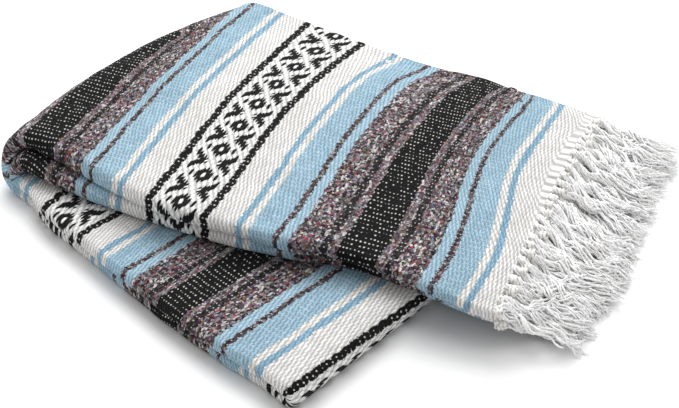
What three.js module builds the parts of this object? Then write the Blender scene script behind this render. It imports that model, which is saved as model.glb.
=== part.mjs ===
// A woven serape blanket, folded into a long tube of four cloth layers and then folded twice along its
// length, so that four leaves of the tube lie on each other. Millimetres, +Z up. The stack stands on z = 0.
// The tube runs as one snake: top leaf, outer turn, bottom leaf, middle fold, third leaf, inner turn,
// second leaf. The two fringed ends lie one on the other at the right.
import * as THREE from "three";

// Cloth and how it is folded.
const CLOTH_WALL = 2.6; // one woven layer
const LEAF_THICK = 10.8; // four layers pressed together, in the lower pack
const LEAF_GAP = 0.4; // between leaves that lie on each other
const SEAM_GAP = 0.3; // between nodes that continue each other
const CORE_GAP = 0.3; // between the outer cloth and the layers folded inside it
const BACK_ROLL = 8; // depth of the doubled folds at the back of a leaf
const NOTCH_DEPTH = 3; // how deep the slit between two folded edges is

// How far the front and back edges of each leaf lie in from the edge of the pack.
const TOP_INSET = { front: 0, back: 0 };
const SECOND_INSET = { front: 8, back: 5 };
const THIRD_INSET = { front: 0, back: 0 };
const BOTTOM_INSET = { front: 3, back: 3 };

// Facets.
const FLAT_SHARES = [0.06, 0.2, 0.36, 0.52, 0.66, 0.8, 0.94]; // points across the flat, as shares of the pack
const FRONT_SHARE = 0.3; // how far in from the front a leaf's edge starts to sink, as a share of the pack
const BACK_FROM = 0.9; // where a leaf starts to sink at its back, when its row does not say
const ROUND_STEPS = 3; // chords round each half of a rolled edge
const SMALL_FOLD_TURN = 0.85 * Math.PI; // how far a small fold at the back turns under, at its last chord
const TURN_STEPS = 5; // steps round a turn

// Heights of the four leaves' middles where they turn, from the underside up.
const BOTTOM_MIDDLE = LEAF_THICK / 2;
const THIRD_MIDDLE = BOTTOM_MIDDLE + LEAF_THICK + LEAF_GAP;
const SECOND_MIDDLE = THIRD_MIDDLE + LEAF_THICK + LEAF_GAP;
const TOP_MIDDLE = SECOND_MIDDLE + LEAF_THICK + LEAF_GAP;
const UPPER_FLOOR = SECOND_MIDDLE - LEAF_THICK / 2;

// The line each turn folds round: front end and back end, seen from above.
const LEFT_FOLD = { frontX: -135, frontY: 36, backX: -75, backY: 338 };
const RIGHT_FOLD = { frontX: 156, frontY: -108, backX: 229, backY: 185 };

// Upper pack, a row for each section from the fringed end to the left fold. frontDrop and backDrop say how
// far its edges sink where no leaf lies beneath them, and backFrom where that starts, as a share of the
// width.
const UPPER_ROWS = [
  { frontX: 262, frontY: 10, backX: 238, backY: 306, thick: 8.0, frontDrop: 6, backDrop: 14, backFrom: 0.58 },
  { frontX: 246, frontY: 9, backX: 222, backY: 306, thick: 8.6, frontDrop: 4, backDrop: 13, backFrom: 0.62 },
  { frontX: 207, frontY: 12, backX: 188, backY: 307, thick: 9.6, frontDrop: 0, backDrop: 11, backFrom: 0.68 },
  { frontX: 170, frontY: 18, backX: 160, backY: 308, thick: 10.5, frontDrop: 0, backDrop: 8, backFrom: 0.72 },
  { frontX: 140, frontY: 20, backX: 138, backY: 309, thick: 11.0, frontDrop: 0, backDrop: 6, backFrom: 0.75 },
  { frontX: 107, frontY: 14, backX: 106, backY: 311, thick: 11.6, frontDrop: 0, backDrop: 4, backFrom: 0.8 },
  { frontX: 55, frontY: 12, backX: 60, backY: 318, thick: 12.0, frontDrop: 0, backDrop: 2, backFrom: 0.85 },
  { frontX: 0, frontY: 13, backX: 2, backY: 328, thick: 12.0, frontDrop: 0, backDrop: 1, backFrom: 0.9 },
  { frontX: -50, frontY: 20, backX: -38, backY: 335, thick: 11.6, frontDrop: 0, backDrop: 0, backFrom: 0.9 },
  { frontX: -98, frontY: 29, backX: -60, backY: 338, thick: 11.0, frontDrop: 0, backDrop: 0, backFrom: 0.9 },
];

// Lower pack, a row for each section from the left fold to the right one.
const LOWER_ROWS = [
  { frontX: -106, frontY: 14, backX: -40, backY: 318 },
  { frontX: -57, frontY: -11, backX: 5, backY: 292 },
  { frontX: -10, frontY: -35, backX: 50, backY: 268 },
  { frontX: 41, frontY: -60, backX: 98, backY: 244 },
  { frontX: 97, frontY: -85, backX: 150, backY: 218 },
  { frontX: 134, frontY: -98, backX: 196, backY: 199 },
];

// Fringe, a row for each section. out is its distance from the woven end, under the height of the lower
// fringe's underside, and low and high the thicknesses of the lower and the upper fringe.
const FRINGE_ROWS = [
  { out: 0.3, frontY: 22, backY: 296, under: 17.0, low: 6.5, high: 6.5 },
  { out: 15, frontY: 26, backY: 301, under: 12.0, low: 6.5, high: 8.0 },
  { out: 32, frontY: 33, backY: 306, under: 5.5, low: 6.0, high: 8.0 },
  { out: 49, frontY: 41, backY: 311, under: 1.2, low: 5.0, high: 6.5 },
  { out: 66, frontY: 50, backY: 315, under: 0.4, low: 3.0, high: 3.6 },
];
const FRINGE_DROP = { front: 6, back: 9 }; // how far the fringe sinks with the corners of the woven end
const FRINGE_FLAT_BY = 3; // row by which the fringe lies on the surface, where it can sink no more

const CLOTH_BLUE = 0x8fbfdd;
const CLOTH_WHITE = 0xece8e0;
const CLOTH_DARK = 0x3a3034;
const FRINGE_WHITE = 0xf4f3f0;

const UP = new THREE.Vector3(0, 0, 1);
const DOWN = new THREE.Vector3(0, 0, -1);

// One section of a leaf: where its front and back edges are, which way its own top faces, how thick it is,
// and how its edges sink.
function station(row, height, thick, up, inset) {
  const front = new THREE.Vector3(row.frontX, row.frontY, height);
  const back = new THREE.Vector3(row.backX, row.backY, height);
  const across = back.clone().sub(front).normalize();
  const packWidth = front.distanceTo(back);
  front.addScaledVector(across, inset.front);
  back.addScaledVector(across, -inset.back);
  return {
    front,
    back,
    packWidth,
    inset: inset.front,
    up: up.clone(),
    thick,
    frontDrop: row.frontDrop ?? 0,
    backDrop: row.backDrop ?? 0,
    backFrom: row.backFrom ?? BACK_FROM,
  };
}

// The sections round a fold line, from the leaf below it or above it to the other one.
// outward is +1 for a fold at the right and -1 for one at the left. startsAbove says where the snake comes
// from, and facesOut whether the ring's own top is on the outer side of the turn.
function turnStations(fold, middle, radius, outward, startsAbove, facesOut, insetFrom, insetTo) {
  const line = new THREE.Vector3(fold.backX - fold.frontX, fold.backY - fold.frontY, 0).normalize();
  const out = new THREE.Vector3(line.y, -line.x, 0).multiplyScalar(outward);
  const stations = [];
  for (let k = 0; k <= TURN_STEPS; k++) {
    const share = k / TURN_STEPS;
    const angle = Math.PI * share;
    const away = new THREE.Vector3(0, 0, Math.cos(angle) * (startsAbove ? 1 : -1));
    away.addScaledVector(out, Math.sin(angle));
    const inset = {
      front: THREE.MathUtils.lerp(insetFrom.front, insetTo.front, share),
      back: THREE.MathUtils.lerp(insetFrom.back, insetTo.back, share),
    };
    const turned = station(fold, middle, LEAF_THICK, away.clone().multiplyScalar(facesOut ? 1 : -1), inset);
    turned.front.addScaledVector(away, radius);
    turned.back.addScaledVector(away, radius);
    stations.push(turned);
  }
  return stations;
}

// The outline of a section, as pairs of distance in from the leaf's front edge and height over its middle.
// wall shrinks it all round, and backWall at the back. The notches split its ends into two folded edges.
function outline(at, wall, backWall, frontNotch, backNotch) {
  const half = at.thick / 2 - wall;
  const start = wall + half;
  const end = at.front.distanceTo(at.back) - backWall - half;
  const inner = FLAT_SHARES.map((share) => share * at.packWidth - at.inset);
  const reaches = [start, ...inner, end];
  const upper = reaches.map((reach) => [reach, half]);
  const lower = reaches.map((reach) => [reach, -half]).reverse();
  const backEnd = roundEnd(end, half, 1, backNotch);
  const frontEnd = roundEnd(start, half, -1, frontNotch).reverse();
  return [...upper, ...backEnd, ...lower, ...frontEnd];
}

// One rounded end of an outline, from its upper side to its lower one: a half circle, or two small ones with
// a slit between them. side is +1 at the back and -1 at the front.
function roundEnd(centre, half, side, notched) {
  const points = [];
  const small = half / 2;
  for (let k = 1; k < 2 * ROUND_STEPS; k++) {
    const fromSide = Math.min(k, 2 * ROUND_STEPS - k) / ROUND_STEPS;
    const above = Math.sign(ROUND_STEPS - k);
    if (!notched) {
      const angle = (Math.PI / 2) * (1 - fromSide);
      points.push([centre + side * half * Math.cos(angle), above * half * Math.sin(angle)]);
    } else if (above === 0) {
      points.push([centre - side * NOTCH_DEPTH, 0]);
    } else {
      const angle = Math.PI / 2 - fromSide * SMALL_FOLD_TURN;
      const reach = centre + side * small * Math.cos(angle);
      points.push([reach, above * (small + small * Math.sin(angle))]);
    }
  }
  return points;
}

// An outline put in its place in space, with its edges sunk.
function ring(at, wall, backWall, frontNotch, backNotch) {
  const across = at.back.clone().sub(at.front).normalize();
  return outline(at, wall, backWall, frontNotch, backNotch).map(([reach, height]) => {
    const share = (reach + at.inset) / at.packWidth;
    const frontSink = at.frontDrop * Math.max(0, 1 - share / FRONT_SHARE) ** 2;
    const backSink = at.backDrop * Math.max(0, (share - at.backFrom) / (1 - at.backFrom)) ** 2;
    return at.front
      .clone()
      .addScaledVector(across, reach)
      .addScaledVector(at.up, height)
      .addScaledVector(UP, -frontSink - backSink);
  });
}

// The end sections moved in along the snake, to leave a seam gap.
function trimmed(stations, firstGap, lastGap) {
  const moved = stations.map((s) => ({ ...s, front: s.front.clone(), back: s.back.clone() }));
  for (const [end, next, gap] of [
    [moved[0], stations[1], firstGap],
    [moved.at(-1), stations.at(-2), lastGap],
  ]) {
    for (const edge of ["front", "back"]) {
      end[edge].addScaledVector(next[edge].clone().sub(end[edge]).normalize(), gap);
    }
  }
  return moved;
}

// Two triangles for each cell between neighbouring rings of equal length, split along its shorter diagonal,
// so that surfaces that lie on each other are split alike.
function stitch(points, faces, from, to, count) {
  for (let j = 0; j < count; j++) {
    const [a, b] = [from + j, to + j];
    const [c, d] = [to + ((j + 1) % count), from + ((j + 1) % count)];
    if (points[a].distanceTo(points[c]) < points[b].distanceTo(points[d])) {
      faces.push([a, b, c], [a, c, d]);
    } else {
      faces.push([a, b, d], [b, c, d]);
    }
  }
}

// A closed geometry from points and faces, with its faces turned outwards.
function solid(points, faces) {
  const volume = faces.reduce((sum, [a, b, c]) => sum + points[a].dot(points[b].clone().cross(points[c])), 0);
  const turned = volume < 0 ? faces.map(([a, b, c]) => [a, c, b]) : faces;
  const geometry = new THREE.BufferGeometry();
  geometry.setAttribute("position", new THREE.Float32BufferAttribute(points.flatMap((p) => p.toArray()), 3));
  geometry.setIndex(turned.flat());
  geometry.computeVertexNormals();
  return geometry;
}

// A wall of cloth round a stretch of the snake, open at both ends like a flattened sleeve.
function clothWall(stations) {
  const outer = stations.map((s) => ring(s, 0, -s.thick / 4, false, true)); // small folds reach half as far
  const inner = stations.map((s) => ring(s, CLOTH_WALL, BACK_ROLL, false, false));
  const count = outer[0].length;
  const points = [...outer.flat(), ...inner.flat()];
  const innerStart = outer.length * count;
  const faces = [];
  for (let i = 0; i + 1 < stations.length; i++) {
    stitch(points, faces, i * count, (i + 1) * count, count);
    stitch(points, faces, innerStart + (i + 1) * count, innerStart + i * count, count);
  }
  const last = (stations.length - 1) * count;
  stitch(points, faces, innerStart, 0, count);
  stitch(points, faces, last, innerStart + last, count);
  return solid(points, faces);
}

// A closed body through the sections, with flat ends.
function lofted(stations, wall, backWall, notched) {
  const rings = stations.map((s) => ring(s, wall, backWall, notched, notched));
  const points = rings.flat();
  const count = rings[0].length;
  const faces = [];
  for (let i = 0; i + 1 < rings.length; i++) stitch(points, faces, i * count, (i + 1) * count, count);
  const last = (rings.length - 1) * count;
  faces.push(...endFaces(stations[0], wall, backWall, notched, 0));
  faces.push(...endFaces(stations.at(-1), wall, backWall, notched, last).map(([a, b, c]) => [a, c, b]));
  return solid(points, faces);
}

// Triangles over the end section of a closed body, wound as its points run, on the points from first on.
function endFaces(at, wall, backWall, notched, first) {
  const corners = outline(at, wall, backWall, notched, notched);
  const contour = corners.map(([reach, height]) => new THREE.Vector2(reach, height));
  const wound = Math.sign(THREE.ShapeUtils.area(contour));
  return THREE.ShapeUtils.triangulateShape(contour, []).map((face) => {
    const alike = wound === Math.sign(THREE.ShapeUtils.area(face.map((corner) => contour[corner])));
    const [a, b, c] = face.map((corner) => corner + first);
    return alike ? [a, b, c] : [a, c, b];
  });
}

// The sections of the two upper leaves, from the fringed end to the left fold.
function upperStations(above) {
  const turned = { thick: LEAF_THICK, frontDrop: 0, backDrop: 0, ...LEFT_FOLD };
  return [...UPPER_ROWS, turned].map((row) => {
    const second = UPPER_FLOOR + row.thick / 2;
    const height = above ? second + row.thick + LEAF_GAP : second;
    return station(row, height, row.thick, above ? UP : DOWN, above ? TOP_INSET : SECOND_INSET);
  });
}

// The sections of the two lower leaves, from the left fold to the right one.
function lowerStations(height, up, inset) {
  return [LEFT_FOLD, ...LOWER_ROWS, RIGHT_FOLD].map((row) => station(row, height, LEAF_THICK, up, inset));
}

// How far along the blanket the woven end is, at a place across it.
function wovenEnd(y) {
  const end = UPPER_ROWS[0];
  return THREE.MathUtils.mapLinear(y, end.frontY, end.backY, end.frontX, end.backX);
}

// The sections of a fringe, from the woven end to the tips.
function fringeStations(above) {
  return FRINGE_ROWS.map((row, index) => {
    const thick = above ? row.high : row.low;
    const under = above ? row.under + row.low + LEAF_GAP : row.under;
    const left = Math.max(0, 1 - index / FRINGE_FLAT_BY);
    const placed = {
      frontX: wovenEnd(row.frontY) + row.out,
      frontY: row.frontY,
      backX: wovenEnd(row.backY) + row.out,
      backY: row.backY,
      frontDrop: FRINGE_DROP.front * left,
      backDrop: FRINGE_DROP.back * left,
      backFrom: 0.58,
    };
    return station(placed, under + thick / 2, thick, UP, TOP_INSET);
  });
}

const outerMiddle = (BOTTOM_MIDDLE + TOP_MIDDLE) / 2;
const outerRadius = (TOP_MIDDLE - BOTTOM_MIDDLE) / 2;
const innerMiddle = (THIRD_MIDDLE + SECOND_MIDDLE) / 2;
const innerRadius = (SECOND_MIDDLE - THIRD_MIDDLE) / 2;
const foldMiddle = (BOTTOM_MIDDLE + THIRD_MIDDLE) / 2;
const foldRadius = (THIRD_MIDDLE - BOTTOM_MIDDLE) / 2;

// The stretches of the snake, in the order in which the tube runs through them.
const stretches = {
  cloth_top_leaf: upperStations(true),
  cloth_outer_turn: turnStations(
    LEFT_FOLD, outerMiddle, outerRadius, -1, true, true, TOP_INSET, BOTTOM_INSET,
  ),
  cloth_bottom_leaf: lowerStations(BOTTOM_MIDDLE, DOWN, BOTTOM_INSET),
  cloth_middle_fold: turnStations(
    RIGHT_FOLD, foldMiddle, foldRadius, 1, false, true, BOTTOM_INSET, THIRD_INSET,
  ),
  cloth_third_leaf: lowerStations(THIRD_MIDDLE, UP, THIRD_INSET).reverse(),
  cloth_inner_turn: turnStations(
    LEFT_FOLD, innerMiddle, innerRadius, -1, false, false, THIRD_INSET, SECOND_INSET,
  ),
  cloth_second_leaf: upperStations(false).reverse(),
};

const blanket = new THREE.Group();

// A named piece of the blanket.
function addPiece(name, geometry, color) {
  const material = new THREE.MeshStandardMaterial({ color, roughness: 0.95, metalness: 0 });
  const mesh = new THREE.Mesh(geometry, material);
  mesh.name = name;
  blanket.add(mesh);
}

const colors = [CLOTH_WHITE, CLOTH_DARK, CLOTH_BLUE];
const lastStretch = Object.keys(stretches).length - 1;
Object.entries(stretches).forEach(([name, stations], index) => {
  const firstGap = index === 0 ? 0 : SEAM_GAP / 2;
  const lastGap = index === lastStretch ? 0 : SEAM_GAP / 2;
  addPiece(name, clothWall(trimmed(stations, firstGap, lastGap)), colors[index % colors.length]);
});

// The layers folded inside the tube run through all of it as one body, with a slit along both edges.
const snake = Object.values(stretches).flatMap((stations, index) => (index ? stations.slice(1) : stations));
addPiece("hidden_layers", lofted(snake, CLOTH_WALL + CORE_GAP, BACK_ROLL + CORE_GAP, true), CLOTH_WHITE);

addPiece("fringe_first_end", lofted(fringeStations(true), 0, 0, false), FRINGE_WHITE);
addPiece("fringe_second_end", lofted(fringeStations(false), 0, 0, false), FRINGE_WHITE);

// The origin is under the middle of the whole blanket.
const bounds = new THREE.Box3().setFromObject(blanket);
const middle = bounds.getCenter(new THREE.Vector3());
blanket.position.set(-middle.x, -middle.y, -bounds.min.z);

const part = new THREE.Group();
part.add(blanket);

export default part;
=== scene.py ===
"""A folded falsa serape: one woven blanket, folded into a long flat sleeve and then into four leaves."""

import logging
import math
from collections.abc import Sequence
from dataclasses import dataclass, field
from enum import Enum
from typing import Any

import bpy
import numpy as np
from mathutils import Matrix, Vector


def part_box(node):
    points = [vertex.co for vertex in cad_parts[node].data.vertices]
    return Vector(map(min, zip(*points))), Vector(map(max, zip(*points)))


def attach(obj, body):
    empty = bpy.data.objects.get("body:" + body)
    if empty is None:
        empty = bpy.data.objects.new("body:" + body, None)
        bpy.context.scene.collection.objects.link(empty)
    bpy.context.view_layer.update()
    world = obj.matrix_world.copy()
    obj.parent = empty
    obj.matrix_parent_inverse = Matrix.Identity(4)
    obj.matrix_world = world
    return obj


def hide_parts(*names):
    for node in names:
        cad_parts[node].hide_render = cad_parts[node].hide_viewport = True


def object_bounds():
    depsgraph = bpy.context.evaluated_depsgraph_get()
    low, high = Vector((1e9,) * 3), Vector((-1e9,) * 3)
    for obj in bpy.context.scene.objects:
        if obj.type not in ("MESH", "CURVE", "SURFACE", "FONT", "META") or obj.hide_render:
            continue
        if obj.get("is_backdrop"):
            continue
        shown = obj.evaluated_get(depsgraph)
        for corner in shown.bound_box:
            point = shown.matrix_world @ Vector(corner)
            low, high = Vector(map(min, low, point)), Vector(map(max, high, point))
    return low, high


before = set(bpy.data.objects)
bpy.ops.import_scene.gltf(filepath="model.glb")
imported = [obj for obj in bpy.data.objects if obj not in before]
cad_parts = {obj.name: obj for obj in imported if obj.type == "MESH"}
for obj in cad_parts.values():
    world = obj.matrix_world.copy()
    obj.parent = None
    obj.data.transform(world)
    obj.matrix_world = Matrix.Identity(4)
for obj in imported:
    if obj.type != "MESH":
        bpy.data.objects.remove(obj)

CAD_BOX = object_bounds()
BODY = "root"
MM = 0.001
UP = np.array([0.0, 0.0, 1.0])

LOG = logging.getLogger("serape")


class Slot(Enum):
    """The record's material slots."""

    CLOTH = "woven_cloth"
    LAYERS = "folded_layers"
    YARN = "fringe_yarn"


class Side(Enum):
    """The side of the pile where the sleeve turns back."""

    LEFT = -1
    RIGHT = 1


class Half(Enum):
    """The two pieces that the sleeve is made in, cut where the underside meets the fold at the right."""

    OUTER = "serape_outer_half"
    INNER = "serape_inner_half"


# ---------------------------------------------------------------- small tools


def linear(colour: str) -> tuple[float, float, float, float]:
    """Turns an sRGB hex colour to linear light.

    Args:
        colour: six hex digits.

    Returns:
        Red, green, blue and alpha, from 0 to 1.
    """
    parts = [int(colour[i : i + 2], 16) / 255 for i in (0, 2, 4)]
    return (*(c / 12.92 if c <= 0.04045 else ((c + 0.055) / 1.055) ** 2.4 for c in parts), 1.0)


def add_node(
    tree: bpy.types.NodeTree, kind: str, inputs: dict[int | str, Any] | None = None, **settings: Any
) -> Any:
    """Adds a node with its settings and links.

    Args:
        tree: the node tree it goes in.
        kind: the node's type.
        inputs: for each input socket, the socket it is linked from or its value.
        settings: the node's own settings by name.

    Returns:
        The node.
    """
    node = tree.nodes.new(kind)
    for name, value in settings.items():
        setattr(node, name, value)
    for name, value in (inputs or {}).items():
        if isinstance(value, bpy.types.NodeSocket):
            tree.links.new(value, node.inputs[name])
        else:
            node.inputs[name].default_value = value
    return node


def fill_ramp(node: Any, stops: Sequence[tuple[float, Sequence[float]]], smooth: bool = False) -> None:
    """Puts a table of stops into a colour ramp.

    Args:
        node: the colour ramp node.
        stops: positions from 0 to 1 with their linear colours.
        smooth: whether colours run into each other between the stops.
    """
    ramp = node.color_ramp
    ramp.interpolation = "LINEAR" if smooth else "CONSTANT"
    while len(ramp.elements) > 1:
        ramp.elements.remove(ramp.elements[-1])
    for index, (position, colour) in enumerate(stops):
        element = ramp.elements[0] if index == 0 else ramp.elements.new(position)
        element.position = position
        element.color = (*colour[:3], 1.0)


def new_material(name: str) -> tuple[bpy.types.Material, bpy.types.NodeTree]:
    """Makes an empty node material.

    Args:
        name: what the real finish is called.

    Returns:
        The material and its node tree.
    """
    material = bpy.data.materials.new(name)
    material.use_nodes = True
    material.node_tree.nodes.clear()
    return material, material.node_tree


def smooth_between(at: np.ndarray, known: np.ndarray, values: np.ndarray) -> np.ndarray:
    """Runs a smooth line through known values, with a tangent at each that looks to both its neighbours.

    Args:
        at: where the line is wanted.
        known: the places of the known values, rising.
        values: the known values, one row for each place.

    Returns:
        One row for each wanted place.
    """
    slopes = np.gradient(values, known, axis=0)
    i = np.clip(np.searchsorted(known, at, side="right") - 1, 0, len(known) - 2)
    span = (known[i + 1] - known[i])[:, None]
    t = ((at - known[i]) / span[:, 0])[:, None]
    return (
        (2 * t**3 - 3 * t**2 + 1) * values[i]
        + (t**3 - 2 * t**2 + t) * span * slopes[i]
        + (3 * t**2 - 2 * t**3) * values[i + 1]
        + (t**3 - t**2) * span * slopes[i + 1]
    )


def ease(share: np.ndarray) -> np.ndarray:
    """A share from 0 to 1, eased at both ends."""
    held = np.clip(share, 0, 1)
    return held**2 * (3 - 2 * held)


@dataclass(frozen=True)
class SoftNoise:
    """A sum of slow waves over a plane, for the small unevenness of soft cloth.

    Attributes:
        seed: which set of waves.
        longest: the longest wave, mm.
        waves: how many waves there are, each a little shorter than the last.
    """

    seed: int
    longest: float
    waves: int = 9

    def at(self, x: np.ndarray, y: np.ndarray) -> np.ndarray:
        """The height at each place, mostly from -1 to 1.

        Args:
            x: distances along the plane, mm.
            y: distances across it, mm.

        Returns:
            The heights.
        """
        rng = np.random.default_rng(self.seed)
        total = np.zeros(np.broadcast(x, y).shape)
        for k in range(self.waves):
            length = self.longest * 0.82**k
            angle, phase = rng.uniform(0, math.tau, 2)
            total += 0.82**k * np.sin((x * math.cos(angle) + y * math.sin(angle)) * math.tau / length + phase)
        return total / math.sqrt(self.waves)


def grid_mesh(
    name: str, points: np.ndarray, plan: np.ndarray, ring_closed: bool, capped: bool = False
) -> bpy.types.Object:
    """Makes a mesh object from a grid of points, in millimetres of the part's frame.

    Args:
        name: the object's name.
        points: rows along the piece, each a ring or a strip of points.
        plan: the cloth's own coordinates at each point, metres, with one more column
                than points if it is closed.
        ring_closed: whether the last point of each row joins the first.
        capped: whether the first and last rows are closed with a face.

    Returns:
        The object, with a UV map that holds the cloth's own coordinates.
    """
    rows, columns = points.shape[:2]
    cells = columns if ring_closed else columns - 1
    i, j = np.meshgrid(np.arange(rows - 1), np.arange(cells), indexing="ij")
    nxt = (j + 1) % columns
    faces = np.stack([i * columns + j, (i + 1) * columns + j, (i + 1) * columns + nxt, i * columns + nxt], -1)
    corner = np.stack([plan[i, j], plan[i + 1, j], plan[i + 1, j + 1], plan[i, j + 1]], -2)
    mesh = bpy.data.meshes.new(name)
    polygons = faces.reshape(-1, 4).tolist()
    corners = corner.reshape(-1, 2)
    if capped:
        polygons += [list(range(columns)), list(range((rows - 1) * columns, rows * columns))[::-1]]
        corners = np.concatenate([corners, plan[0, :columns], plan[-1, :columns][::-1]])
    mesh.from_pydata((points.reshape(-1, 3) * MM).tolist(), [], polygons)
    layer = mesh.uv_layers.new(name="cloth_plan")
    layer.data.foreach_set("uv", np.ascontiguousarray(corners, dtype=np.float32).ravel())
    made = bpy.data.objects.new(name, mesh)
    bpy.context.scene.collection.objects.link(made)
    return made


def alone(piece: bpy.types.Object) -> None:
    """Selects one object and nothing else."""
    bpy.ops.object.select_all(action="DESELECT")
    piece.select_set(True)
    bpy.context.view_layer.objects.active = piece


def faces_out(piece: bpy.types.Object) -> None:
    """Turns the faces of a piece outwards and shades it smooth."""
    alone(piece)
    bpy.ops.object.mode_set(mode="EDIT")
    bpy.ops.mesh.select_all(action="SELECT")
    bpy.ops.mesh.normals_make_consistent(inside=False)
    bpy.ops.object.mode_set(mode="OBJECT")
    bpy.ops.object.shade_smooth()


# ---------------------------------------------------------------- the fold's own sizes


@dataclass(frozen=True)
class FoldLine:
    """A line that the sleeve turns round, by its front and back ends seen from above, mm."""

    front: tuple[float, float]
    back: tuple[float, float]


@dataclass(frozen=True)
class PackRow:
    """A section across the pile, mm.

    Attributes:
        front: its front end, seen from above.
        back: its back end.
        thick: how thick one leaf is there.
        front_drop: how far its front edge sinks.
        back_drop: how far its back edge sinks.
        back_from: where that starts, as a share of the width.
        second_front: how far the second leaf's front edge lies in from the top one's.
        squash: how much flatter the pile is at its back edge, as a share of its height.
        lift: how high the pile stands off the lower one.
    """

    front: tuple[float, float]
    back: tuple[float, float]
    thick: float = 10.8
    front_drop: float = 0.0
    back_drop: float = 0.0
    back_from: float = 0.9
    second_front: float = 8.0
    squash: float = 0.0
    lift: float = 0.0


@dataclass(frozen=True)
class Inset:
    """How far a leaf's edges lie in from the edges of the pile, mm."""

    front: float = 0.0
    back: float = 0.0


@dataclass(frozen=True)
class Crease:
    """A soft trough or ridge over a leaf, seen from above, mm.

    Attributes:
        start: where it starts.
        end: where it ends.
        width: its half width.
        height: how high it stands, or how deep it goes when negative.
    """

    start: tuple[float, float]
    end: tuple[float, float]
    width: float
    height: float

    def at(self, x: np.ndarray, y: np.ndarray) -> np.ndarray:
        """Its height at each place.

        Args:
            x: distances along the pile.
            y: distances across it.

        Returns:
            The heights.
        """
        ax, ay = self.start
        dx, dy = self.end[0] - ax, self.end[1] - ay
        length = math.hypot(dx, dy)
        along = ((x - ax) * dx + (y - ay) * dy) / length**2
        off = ((x - ax) * dy - (y - ay) * dx) / length
        ends = np.clip(np.minimum(along, 1 - along) * 4 + 0.5, 0, 1)
        return self.height * np.exp(-((off / self.width) ** 2)) * ends**2 * (3 - 2 * ends)


@dataclass
class Stations:
    """The sections of the sleeve in the order in which it runs, one row each, mm."""

    front: np.ndarray
    back: np.ndarray
    up: np.ndarray
    facts: np.ndarray  # thick, pack width, inset, front drop, back drop, back from, squash

    def joined(self, other: "Stations") -> "Stations":
        """These sections and the next ones, whose first is the same as the last of these.

        Args:
            other: the next sections.

        Returns:
            All of them.
        """
        return Stations(
            *(
                np.concatenate([getattr(self, n), getattr(other, n)[1:]])
                for n in ("front", "back", "up", "facts")
            )
        )

    def reversed(self) -> "Stations":
        """The same sections in the other order."""
        return Stations(self.front[::-1], self.back[::-1], self.up[::-1], self.facts[::-1])

    def places(self) -> np.ndarray:
        """How far along the sleeve's middle each section is, with some of the way its top turns added."""
        middle = (self.front + self.back) / 2
        steps = np.linalg.norm(np.diff(middle, axis=0), axis=1)
        turned = np.linalg.norm(np.diff(self.up, axis=0), axis=1) * self.facts[1:, 0] / 2
        return np.concatenate([[0], np.cumsum(np.hypot(steps, turned))])

    def at(self, wanted: np.ndarray) -> "Stations":
        """Sections at other places along the sleeve.

        Args:
            wanted: distances along it.

        Returns:
            The sections there.
        """
        known = self.places()
        up = smooth_between(wanted, known, self.up)
        up /= np.linalg.norm(up, axis=1, keepdims=True)
        return Stations(
            smooth_between(wanted, known, self.front),
            smooth_between(wanted, known, self.back),
            up,
            np.stack([np.interp(wanted, known, column) for column in self.facts.T], -1),
        )


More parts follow.
